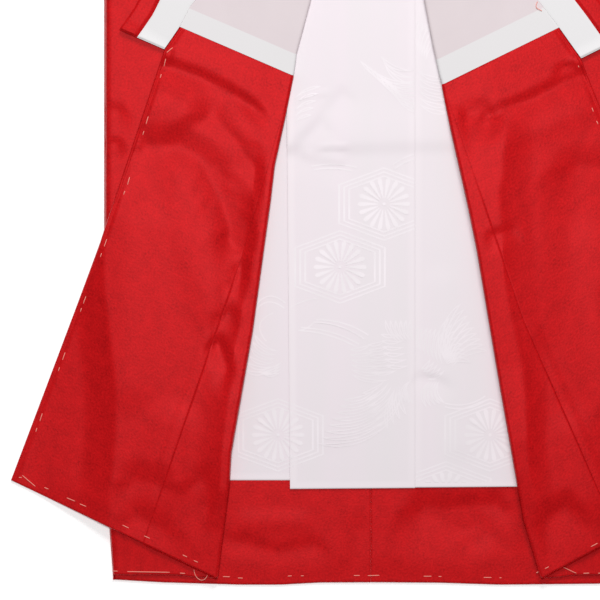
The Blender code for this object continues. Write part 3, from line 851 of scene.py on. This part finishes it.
# The white inner layer
# White figured silk in three panels: the right front below, and over it the left front with its overlap
# panel. A tuck crosses it, and its hem and front edge are turned under, where it looks a little whiter.
TUCK, TUCK_WAVE, TUCK_WAVE_WIDTH = 372.0, 1.5, 45.0
TUCK_RISE, TUCK_EXTRA, TUCK_EXTRA_X = 0.9, 0.5, (10, -50)
# Heights above the tuck's line where it rises, and where it settles again by this share
TUCK_RISES, TUCK_SETTLES, TUCK_SETTLED = (-13, 1), (3, 40), 0.75
TURNED_HEM, TURNED_EDGE, ALLOWANCE, ALLOWANCE_SHARE = 4.5, 6.0, 4.5, 0.7
HEM_STITCHING, STITCHING_WIDTHS = 12.5, (0.9, 0.2)
WHITE_SEAM, WHITE_WALL, SLIGHT_DIP, SIDE_WIDTH, WHITE_ROUND = 37.0, 0.4, 0.12, 1.5, 0.5
HEM_SLOPE, HEM_SLOPE_ROWS = 0.008, (90, 80)
RIGHT_LEVEL, LEFT_LEVEL = 3.6, 4.9
# How much of its relief each hidden part keeps, and how far it fades at the fronts' edges
UNDER_SHARE, HIDDEN_SHARE, SHOWN_FADE = 0.3, 0.25, 6.0
# Each row: height, how far out the fronts leave this layer showing
SHOWN = ((85, 118), (447, 62), (1010, -56))
# Each row: points as (x, height), half width, rise
WHITE_FOLDS = (
    (((-41, 388), (-60, 371)), 9, -0.7),
    (((-24, 414), (-36, 400), (-50, 383)), 8, -0.6),
    (((-60, 407), (-37, 414)), 2.5, 0.45),
    (((-45, 366.0), (-34, 368.8), (-22, 368.0)), 2.6, 0.8),
    (((-54, 361), (-26, 357)), 8, 0.6),
    (((60, 250), (75, 120)), 22, 0.4),
    (((-30, 330), (-35, 130)), 24, 0.4),
    (((41, 175.5), (52, 174.5), (62, 170)), 5, -0.5),
)
Panel = namedtuple("Panel", "rests_on level low_row high_row left right spacing")
# The edges have rows of height and x
INNER_PANELS = {
    "inner_front_right": Panel(
        "hakkake_back_right", RIGHT_LEVEL, 87.0, 900.0,
        ((87, -180), (900, -180)), ((87, 70), (470, 70), (900, -58)), 4.5,
    ),
    "inner_okumi_left": Panel(
        "inner_front_right", LEFT_LEVEL, 80.6, 826.0,
        ((79, -68), (392, -70.6), (470, -70.6), (829, WHITE_SEAM - SEAM_GAP)),
        ((79, WHITE_SEAM - SEAM_GAP), (829, WHITE_SEAM - SEAM_GAP)), 3.0,
    ),
    "inner_front_left": Panel(
        "inner_front_right", LEFT_LEVEL, 81.0, 900.0,
        ((80, WHITE_SEAM + SEAM_GAP), (830, WHITE_SEAM + SEAM_GAP), (900, 58)), ((80, 180), (900, 180)), 3.0,
    ),
}


def tuck_height(x, height):
    """The tuck: the cloth above it laps over the cloth below, higher near the overlap's edge."""
    line = TUCK + TUCK_WAVE * np.sin(x / TUCK_WAVE_WIDTH)
    rise = TUCK_RISE + TUCK_EXTRA * eased(x, *TUCK_EXTRA_X)
    settled = 1 - TUCK_SETTLED * eased(height - line, *TUCK_SETTLES)
    return rise * eased(height - line, *TUCK_RISES) * settled


def white_level(node, x, height):
    """How far the white layer stands above its level."""
    folds = relief(WHITE_FOLDS, x, height)
    if node == "inner_front_right":
        return UNDER_SHARE * folds
    half = along(SHOWN, height)
    shown = 1 - eased(np.abs(x), half - SHOWN_FADE, half + SHOWN_FADE)
    return (tuck_height(x, height) + folds) * (HIDDEN_SHARE + (1 - HIDDEN_SHARE) * shown)


# Figured silk satin, white with a faint pink cast: smooth ground, with a figure in a longer float that
# catches more light in some places than others, which is painted into its colour as brighter patches.
# Faint stripes run down it where it was folded.
def white_silk(name, ground, shade, whitest, roughness, gloss, stripes_across):
    material, tree, shader, cloth, _ = woven(
        name, {"Roughness": roughness, "Specular IOR Level": gloss, "Sheen Weight": 0.1},
        {"Scale": 600.0}, {"Strength": 0.1, "Distance": 0.0002},
    )
    # For the figure these stripes are painted sheen: brighter patches where its floats catch the light.
    long_way = add(tree, "ShaderNodeMapping", {"Scale": (34.0, stripes_across, 1.0)}, {"Vector": cloth})
    stripes = add(tree, "ShaderNodeTexNoise", {"Scale": 1.0, "Detail": 2.0}, {"Vector": long_way})
    stripe = add(tree, "ShaderNodeMapRange", {"From Min": 0.35, "From Max": 0.65}, {"Value": stripes})
    whites = {"data_type": "RGBA", 6: linear(ground), 7: linear(shade)}
    striped = add(tree, "ShaderNodeMix", whites, {0: stripe})
    doubled = add(tree, "ShaderNodeAttribute", {"attribute_name": "doubled"}).outputs["Fac"]
    layers = {"data_type": "RGBA", 7: linear(whitest)}
    colour = add(tree, "ShaderNodeMix", layers, {0: doubled, 6: striped.outputs[2]})
    tree.links.new(colour.outputs[2], shader.inputs["Base Color"])
    return material


white_ground = white_silk("white_figured_silk", "#EAE2E6", "#EDE2E8", "#F0E6EB", 0.5, 0.5, 1.5)

for node, panel in INNER_PANELS.items():
    rows = front_rows(panel.low_row, panel.high_row)
    lows, highs = along(panel.left, rows), along(panel.right, rows)
    runs = columns_between(lows, highs, panel.spacing)
    up = rows[:, None] - panel.low_row
    stitched = SLIGHT_DIP * eased(np.abs(up - HEM_STITCHING), *STITCHING_WIDTHS)
    sides = sunk(runs - lows[:, None], SLIGHT_DIP, SIDE_WIDTH)
    sides += sunk(highs[:, None] - runs, SLIGHT_DIP, SIDE_WIDTH)

    def inner_point(row, x, z):
        slope = HEM_SLOPE * (panel.level == LEFT_LEVEL) * eased(row, *HEM_SLOPE_ROWS)
        return in_metres(x, row + slope * (x - WHITE_SEAM), z + white_level(node, x, row))

    def whiter(row, x):
        hem = 1 - eased(row - panel.low_row, TURNED_HEM - 0.5, TURNED_HEM + 0.5)
        edge = 1 - eased(x - along(panel.left, row), TURNED_EDGE - 2, TURNED_EDGE + 1)
        seam = 1 - eased(np.abs(x - WHITE_SEAM), ALLOWANCE - 1, ALLOWANCE + 1)
        turned = np.maximum(hem, edge * (node == "inner_okumi_left"))
        return np.maximum(turned, ALLOWANCE_SHARE * seam * (node != "inner_front_right"))

    thin_cloth(
        node,
        [(
            flat_cloth(rows, runs, np.maximum(rounded(up, WHITE_ROUND), np.maximum(stitched, sides))),
            lambda row, x, dip: inner_point(row, x, panel.level - dip),
            lambda row, x, dip: inner_point(row, x, panel.level - WHITE_WALL - dip),
        )],
        (white_ground, "white_silk"), {"doubled": whiter},
    )

# The woven figure
# Hexagons of three lines with many-petalled flowers in them, and cranes made of fans of feathers. The
# figure is a longer weave of the same silk, drawn as thin flat lines that lie on the white cloth.
FIGURE_RISE, LINE_STEP, LINE_STEPS = 0.06, 0.014, 11
LINE, FEATHER_LINE, SINGLE_LINE, LINE_SPACING = 1.6, 0.9, 1.1, 2.5
HEXAGON_HALF, HEXAGON_SIDE, HEXAGON_REACH = 38.5, 16.5, 31.0
HEXAGON_LINES = (1.0, 0.89, 0.78)
PETALS, PETAL_FROM, PETAL_TO, PETAL_TIP, HEART = 18, 5.0, 22.4, 3.0, 2.4
# How fast a petal widens and what it leaves free beside it, and the powers of a feather's shape
PETAL_SPREAD, PETAL_FREE, FEATHER_FULL, FEATHER_BLUNT = 0.11, 0.2, 1.5, 0.7
TINY_FACE = 0.002
# The figure of each panel: the part that it may cover as left, right, lowest and highest; the middles of
# its hexagons; its fans of feathers, with two roots, two tips, bend, count and half width; and its single
# lines, with start, end and bend. Points are (x, height), and a bend is a share of the length.
Figure = namedtuple("Figure", "limits hexagons fans lines")
FIGURES = {
    "inner_front_right": Figure(
        (-112.0, -66.0, 91.5, 480.0),
        ((-78.2, 125.2),),
        (
            (((-78, 196), (-84, 180)), ((-98, 210), (-106, 180)), 0.15, 6, 1.8),
            (((-74, 188), (-76, 178)), ((-96, 178), (-90, 176)), 0.1, 4, 1.6),
        ),
        (
            ((-98, 232), (-72, 236), 0.3),
            ((-99, 226), (-73, 232), 0.3),
            ((-88, 204), (-82, 228), 0.35),
        ),
    ),
    "inner_okumi_left": Figure(
        (-67.7, 36.4, 84.3, 760.0),
        ((-26.1, 266.4), (10.9, 319.3), (-78.2, 125.2), (-14.0, 560.0), (23.0, 613.0)),
        (
            (((2, 203), (16, 172)), ((-18, 197), (-16, 176)), 0.1, 6, 1.7),
            (((14, 206), (22, 180)), ((-3, 201), (0, 178)), 0.1, 6, 1.7),
            (((26, 210), (32, 184)), ((8, 210), (12, 184)), 0.1, 6, 1.7),
            (((24, 203), (36, 204)), ((12, 222), (34, 222)), 0.12, 6, 1.6),
            (((6, 166), (18, 138)), ((-24, 155), (-45, 118)), 0.13, 8, 1.9),
            (((12, 172), (26, 160)), ((-8, 160), (6, 132)), 0.1, 6, 1.6),
            (((18, 160), (24, 166)), ((14, 130), (30, 142)), -0.1, 4, 1.6),
            (((36, 172), (31, 170)), ((26, 153), (36, 152)), -0.2, 4, 1.4),
            (((44, 424), (46, 394)), ((-10, 441), (20, 420)), 0.17, 8, 2.0),
            (((38, 432), (38, 420)), ((8, 444), (12, 436)), 0.15, 3, 1.6),
            (((-64, 408), (-64, 388)), ((-42, 418), (-50, 394)), 0.1, 5, 1.4),
            (((-60, 520), (-50, 500)), ((-8, 532), (-6, 500)), 0.12, 7, 2.0),
            (((-20, 690), (-10, 670)), ((26, 706), (30, 672)), 0.12, 7, 2.0),
        ),
        (
            ((-48, 220), (-6, 206), 0.08),
            ((-46, 222), (-2, 209), 0.08),
            ((-61, 213), (-12, 199), 0.06),
            ((-59, 215.5), (-10, 201.5), 0.06),
            ((-48, 220), (-61, 213), 0.1),
            ((-69, 232), (-46, 240), 0.05),
            ((-50, 351), (-12, 350), 0.06),
            ((-48, 348), (-16, 347), 0.06),
            ((18, 352), (36, 361), 0.05),
            ((20, 349), (36, 357), 0.05),
        ),
    ),
    "inner_front_left": Figure(
        (37.6, 124.0, 85.5, 760.0),
        ((100.0, 125.2), (63.0, 72.3)),
        (
            (((39, 196), (60, 184)), ((40, 216), (62, 214)), 0.12, 7, 1.6),
            (((50, 190), (62, 180)), ((42, 180), (48, 172)), 0.1, 5, 1.6),
            (((61, 190), (63, 184)), ((66, 224), (84, 186)), 0.16, 8, 2.0),
            (((64, 190), (68, 182)), ((76, 236), (98, 196)), 0.16, 9, 2.3),
            (((52, 172), (58, 172)), ((47, 148), (62, 152)), -0.25, 5, 1.5),
            (((38, 448), (46, 440)), ((40, 474), (60, 466)), 0.1, 6, 2.2),
            (((38, 432), (40, 404)), ((62, 424), (64, 396)), -0.1, 6, 2.0),
        ),
        (
            ((62, 152), (96, 158), -0.12),
            ((62, 149), (96, 154), -0.12),
        ),
    ),
}


# The same silk where its threads float longer: glossier, with its sheen painted in as a whiter colour
# and as finer brighter stripes across it.
white_figure = white_silk("white_silk_figure", "#ECE4E8", "#F2E9EE", "#F2E9EE", 0.45, 0.6, 30.0)


def bent_line(start, end, bend, count=14):
    """Points on a curve from start to end that bends sideways by a share of its length."""
    start, end = np.array(start, float), np.array(end, float)
    side = np.array((start[1] - end[1], end[0] - start[0]))
    control = (start + end) / 2 + 2 * bend * side
    part = np.linspace(0, 1, count)[:, None]
    return (1 - part) ** 2 * start + 2 * part * (1 - part) * control + part ** 2 * end


def ways(points):
    """The way along a line and the way across it, at each of its points."""
    way = np.gradient(points, axis=0)
    way /= np.linalg.norm(way, axis=1)[:, None]
    return way, np.stack([-way[:, 1], way[:, 0]], axis=1)


def leaf(start, end, bend, half_width):
    """The two sides of the line round a feather, which is widest towards its tip."""
    middle = bent_line(start, end, bend, 16)
    part = np.linspace(0, 1, len(middle))
    way, across = ways(middle)
    width = half_width * np.sin(pi * part ** FEATHER_FULL) ** FEATHER_BLUNT
    inner = middle - way * (FEATHER_LINE * part * (part > 0.5))[:, None]
    sides = []
    for line, half in ((middle, width), (inner, np.clip(width - FEATHER_LINE, 0, None))):
        off = across * half[:, None]
        sides.append(np.vstack([line + off, (line - off)[::-1]]))
    return sides


def petal(middle, angle):
    """The two sides of a petal that widens from the flower's middle to a round tip."""
    out = np.linspace(PETAL_FROM, PETAL_TO, 16)
    tip = np.clip((out - PETAL_TO) / PETAL_TIP + 1, 0, 1)
    straight = PETAL_SPREAD * np.minimum(out, PETAL_TO - PETAL_TIP) - PETAL_FREE
    half_width = straight * np.sqrt(1 - tip ** 2)
    way = np.array((cos(angle), sin(angle)))
    across = half_width[:, None] * np.array((-way[1], way[0]))
    return middle + out[:, None] * way + across, middle + out[:, None] * way - across


def stroke(points, line):
    """The two sides of an open line."""
    off = ways(points)[1] * line / 2
    return points + off, points - off


def hexagon(middle, share):
    """A closed line round a hexagon that stands on a point."""
    half, side, reach = HEXAGON_HALF * share, HEXAGON_SIDE * share, HEXAGON_REACH * share
    corners = [(half, -side), (half, side), (0, reach), (-half, side), (-half, -side), (0, -reach)]
    return np.array(corners + corners[:1]) + middle


def figure_lines(figure):
    """Both sides of each line of one panel's figure."""
    lines = []
    for middle in np.array(figure.hexagons):
        for share in HEXAGON_LINES:
            lines.append((hexagon(middle, share), hexagon(middle, share - LINE / HEXAGON_HALF)))
        lines += [petal(middle, 2 * pi * place / PETALS) for place in range(PETALS)]
        lines.append(stroke(middle + ((-HEART / 2, 0), (HEART / 2, 0)), HEART))
    for roots, tips, bend, count, half_width in figure.fans:
        for place in np.linspace(0, 1, count):
            root, tip = (first + (last - first) * place for first, last in np.array((roots, tips)))
            lines.append(leaf(root, tip, bend, half_width))
    return lines + [stroke(bent_line(*line), SINGLE_LINE) for line in figure.lines]


def draw(flat, sides, order):
    """Add a line to a flat bmesh from its two sides, in pieces short enough to follow the cloth."""
    distance = np.concatenate([[0], np.cumsum(np.hypot(*np.diff(sides[0], axis=0).T) + 0.001)])
    at = np.unique(np.concatenate([distance, np.arange(0, distance[-1], LINE_SPACING)]))
    rise = order % LINE_STEPS * LINE_STEP
    verts = []
    for side in sides:
        points = [np.interp(at, distance, side[:, axis]) for axis in (0, 1)]
        verts.append([flat.verts.new((x, height, rise)) for x, height in zip(*points)])
    for a, b, c, d in zip(verts[0], verts[0][1:], verts[1][1:], verts[1]):
        face = flat.faces.new((a, b, c, d))
        face.normal_update()
        if face.normal.z < 0:
            face.normal_flip()


for node, panel in INNER_PANELS.items():
    flat = bmesh.new()
    for order, sides in enumerate(figure_lines(FIGURES[node])):
        draw(flat, sides, order)
    tiny = [face for face in flat.faces if face.calc_area() < TINY_FACE]
    bmesh.ops.delete(flat, geom=tiny, context="FACES")
    left, right, lowest, highest = FIGURES[node].limits
    for point, normal in (
        ((left, 0, 0), (1, 0, 0)), ((right, 0, 0), (-1, 0, 0)),
        ((0, lowest, 0), (0, 1, 0)), ((0, highest, 0), (0, -1, 0)),
    ):
        cut(flat, point, normal, True)
    flat.verts.index_update()
    x, height, rise = np.array([v.co[:] for v in flat.verts]).T
    z = panel.level + white_level(node, x, height) + FIGURE_RISE + rise
    faces = [[v.index for v in face.verts] for face in flat.faces]
    flat.free()
    mesh = bpy.data.meshes.new(node + "_figure")
    mesh.from_pydata(in_metres(x, height, z).tolist(), [], faces)
    add_uv(mesh, np.column_stack([height, x]))
    mesh.materials.append(white_figure)
    figure = placed(node + "_figure", mesh)
    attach(figure, "root")

# Basting
# Long and short running stitches of pale cotton thread in pairs, which hold the rolled edges until the
# first wearing, with one slack loop and a loose thread end at the hem, and another end at the collar.
STITCH_RADIUS, LOOSE_RADIUS = 0.32, 0.26
STITCH_SINK, STITCH_RISE, SWAY, LOOSE_RISE = 0.3, 0.9, 0.06, 0.25
WHOLE_STITCH, ROW_STEPS = 0.7, 30
# Each row: what it is sewn through, the line it follows in (x, height), and each stitch's place and length
BASTING = (
    (
        "right", ((-173.1, 437.8), (-203.4, 338.7), (-281.5, 129.4)),
        (
            (0, 6.7), (11.7, 3.4), (50.5, 6.7), (61.7, 3.4), (103.7, 6.7), (114.3, 3.4), (159.2, 6.7),
            (170.2, 3.4), (210.3, 6.7), (219.3, 3.4), (260.8, 6.7), (272.5, 3.4), (315.6, 6.7), (327, 3.4),
        ),
    ),
    (
        "right", ((-287.8, 87.0), (-242.0, 66.4), (-147.1, 19.3)),
        ((16.2, 3.8), (38.9, 7.6), (50.2, 5.9), (90.4, 5.9), (110, 5.9), (145.9, 4.2), (156.2, 3.8)),
    ),
    ("right", ((-293.2, 91.6), (-282.4, 81.4)), ((7.4, 14.6),)),
    ("right", ((-171.4, 446.2), (-166.4, 450.4)), ((3.3, 6.5),)),
    ("right", ((-296.5, 89.6), (-292.1, 89.1)), ((1.5, 2.5),)),
    (
        "back",
        (
            (-217.6, 10.9), (-165, 9.6), (-121, 5.9), (-109, 4.6), (-68, 6.6),
            (2, 7.0), (48, 6.3), (110, 5.0), (181, 9.2), (217, 9.0),
        ),
        (
            (2.5, 5), (30.6, 36), (59.2, 4.2), (96.1, 5.9), (107.9, 4.2), (149.6, 3.4), (160.1, 2.5),
            (205.9, 5), (220.1, 10), (265.5, 6.8), (276, 2.5), (316, 6.7), (326.9, 1.8), (399, 5), (411, 4),
        ),
    ),
    (
        "left", ((174.0, 434.5), (187.4, 393.0), (305.0, 108.0)),
        (
            (0, 1.8), (38, 3.5), (49.5, 3), (95, 6.7), (106, 3.4), (147, 6.7), (158, 3.4), (199, 6.7),
            (210, 3.4), (252, 6.7), (263, 3.4), (304, 6.7), (315, 3.4),
        ),
    ),
    (
        "left", ((139.5, 10.1), (187.4, 33.2), (303, 92.0)),
        ((0, 1.8), (9, 3.6), (53, 6.5), (62, 3.4), (105, 6.7), (116, 3.4), (158, 6.7), (167, 3.4)),
    ),
)
# Loose thread: name, what it lies on, and its points as (x, height, rise above the cloth)
THREADS = (
    (
        "slack_loop", "back",
        (
            (-148.8, 12.0, 0.0), (-148.3, 8.0, 1.0), (-145.8, 4.4, 1.4), (-142.2, 2.9, 1.5),
            (-139.0, 4.2, 1.4), (-137.2, 7.6, 1.0), (-137.0, 10.5, 0.0),
        ),
    ),
    (
        "hem_thread_end", "back",
        ((160.5, 14.6, 0.2), (164.0, 13.2, 0.7), (168.5, 10.8, 0.8), (172.3, 9.2, 0.3)),
    ),
    (
        "collar_thread_end", "left",
        (
            (139.5, 489.0, 0.2), (137.9, 486.0, 0.5), (138.2, 483.2, 0.6), (140.6, 482.6, 0.5),
            (143.2, 481.2, 0.2),
        ),
    ),
)


def top_level(on, x, height):
    """The level of the face that shows: on a turned front, or on what lies beside it at the hem."""
    out = np.abs(x)
    if on == "back":
        front = RIGHT if np.mean(x) < 0 else LEFT
        beside = laid_level(front, out, height) - OUTER_DEPTH
        return np.where(out > crease_out(front, height), beside, LINING_LEVEL + strip_level(x, height))
    front = RIGHT if on == "right" else LEFT
    # The row through a point is found by going back along it until it fits
    row = height
    for _ in range(ROW_STEPS):
        turned = (out - crease_out(front, row)) / np.cos(grain_of(front, row))
        row = row + 0.5 * (height - turned * np.sin(grain_of(front, row)) - row)
    return turned_level(front, out, height, turned, LINING_DEPTH)


# Cotton basting thread, loosely spun and undyed: matt, and a little pink from the red silk under it.
thread, tree, shader = finished("cotton_basting_thread", {"Roughness": 0.8})
place = add(tree, "ShaderNodeTexCoord").outputs["Object"]
fuzz = add(tree, "ShaderNodeTexNoise", {"Scale": 2500.0, "Detail": 2.0}, {"Vector": place})
pinks = {"data_type": "RGBA", 6: linear("#FFAA9A"), 7: linear("#F08676")}
tree.links.new(add(tree, "ShaderNodeMix", pinks, {0: fuzz}).outputs[2], shader.inputs["Base Color"])


def stitch_nodes():
    """Nodes that put one stitch, which rises out of the cloth and goes back in, at each point."""
    group = bpy.data.node_groups.new("running_stitches", "GeometryNodeTree")
    group.interface.new_socket("Points", in_out="INPUT", socket_type="NodeSocketGeometry")
    kinds = {"Thread radius": "Float", "Sway": "Float", "Seed": "Int", "Thread": "Material"}
    for name, kind in kinds.items():
        group.interface.new_socket(name, in_out="INPUT", socket_type="NodeSocket" + kind)
    group.interface.new_socket("Stitches", in_out="OUTPUT", socket_type="NodeSocketGeometry")
    given = add(group, "NodeGroupInput").outputs
    low, high = -STITCH_SINK * MM, STITCH_RISE * MM
    bow = add(
        group, "GeometryNodeCurveQuadraticBezier",
        {"Resolution": 8, "Start": (-0.5, 0, low), "Middle": (0, 0, high), "End": (0.5, 0, low)},
    )
    radius = {"Radius": given["Thread radius"]}
    circle = add(group, "GeometryNodeCurvePrimitiveCircle", {"Resolution": 8}, radius)
    one = add(group, "GeometryNodeCurveToMesh", {"Fill Caps": True}, {"Curve": bow, "Profile Curve": circle})
    turn = add(group, "GeometryNodeInputNamedAttribute", {"data_type": "FLOAT_VECTOR", "Name": "turn"})
    reach = add(group, "GeometryNodeInputNamedAttribute", {"data_type": "FLOAT", "Name": "reach"})
    swaying = {3: given["Sway"], "Seed": given["Seed"]}
    sway = add(group, "FunctionNodeRandomValue", {"data_type": "FLOAT"}, swaying)
    heading = add(group, "ShaderNodeCombineXYZ", {}, {"Z": sway.outputs[1]})
    swayed = add(group, "ShaderNodeVectorMath", {"operation": "ADD"}, {0: turn, 1: heading})
    size = add(group, "ShaderNodeCombineXYZ", {"Y": 1.0, "Z": 1.0}, {"X": reach})
    shapes = {"Points": given["Points"], "Instance": one, "Rotation": swayed, "Scale": size}
    stitches = add(group, "GeometryNodeInstanceOnPoints", {}, shapes)
    real = add(group, "GeometryNodeRealizeInstances", {}, {"Geometry": stitches})
    smooth = add(group, "GeometryNodeSetShadeSmooth", {}, {"Geometry": real})
    spun = add(group, "GeometryNodeSetMaterial", {}, {"Geometry": smooth, "Material": given["Thread"]})
    add(group, "NodeGroupOutput", {}, {0: spun})
    return group


places, turns, reaches = [], [], []
for on, line, stitches in BASTING:
    line = np.array(line, float)
    distance = np.concatenate([[0], np.cumsum(np.hypot(*np.diff(line, axis=0).T))])
    for at, length in stitches:
        x, height = (np.interp((at - length / 2, at + length / 2), distance, axis) for axis in line.T)
        # Past an end of the line a stitch would be cut short, so it keeps the line's first direction
        if abs(x[1] - x[0]) + abs(height[1] - height[0]) < length * WHOLE_STITCH:
            step = (line[1] - line[0]) / distance[1] * length / 2
            middle = np.array([np.interp(at, distance, axis) for axis in line.T])
            x, height = np.array((middle - step, middle + step)).T
        z = top_level(on, x, height)
        (across,), (up,), (rise,) = np.diff(x), np.diff(height), np.diff(z)
        places.append(in_metres(x.mean(), height.mean(), z.mean()).tolist())
        turns += [0.0, -atan2(rise, np.hypot(across, up)), atan2(up, across)]
        reaches.append(length * MM)
mesh = bpy.data.meshes.new("basting")
mesh.from_pydata(places, [], [])
mesh.attributes.new("turn", "FLOAT_VECTOR", "POINT").data.foreach_set("vector", turns)
mesh.attributes.new("reach", "FLOAT", "POINT").data.foreach_set("value", reaches)
points = placed("basting_points", mesh)
modifier = points.modifiers.new("stitches", "NODES")
modifier.node_group = stitch_nodes()
values = {"Thread radius": STITCH_RADIUS * MM, "Sway": SWAY, "Seed": 7, "Thread": thread}
for item in modifier.node_group.interface.items_tree:
    if item.name in values:
        modifier[item.identifier] = values[item.name]
stitched = bpy.data.meshes.new_from_object(points.evaluated_get(bpy.context.evaluated_depsgraph_get()))
bpy.data.objects.remove(points)
loose = [placed("basting_stitches", stitched)]

for name, on, line in THREADS:
    x, height, rise = np.array(line).T
    curve = bpy.data.curves.new(name, "CURVE")
    curve.dimensions = "3D"
    curve.bevel_depth = LOOSE_RADIUS * MM
    curve.bevel_resolution = 2
    curve.materials.append(thread)
    spline = curve.splines.new("NURBS")
    spline.points.add(len(x) - 1)
    points = in_metres(x, height, top_level(on, x, height) + rise + LOOSE_RISE)
    spline.points.foreach_set("co", np.column_stack([points, np.ones(len(x))]).ravel())
    spline.use_endpoint_u = True
    spline.order_u = 4
    loose.append(placed(name, curve))
for piece in loose:
    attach(piece, "root")
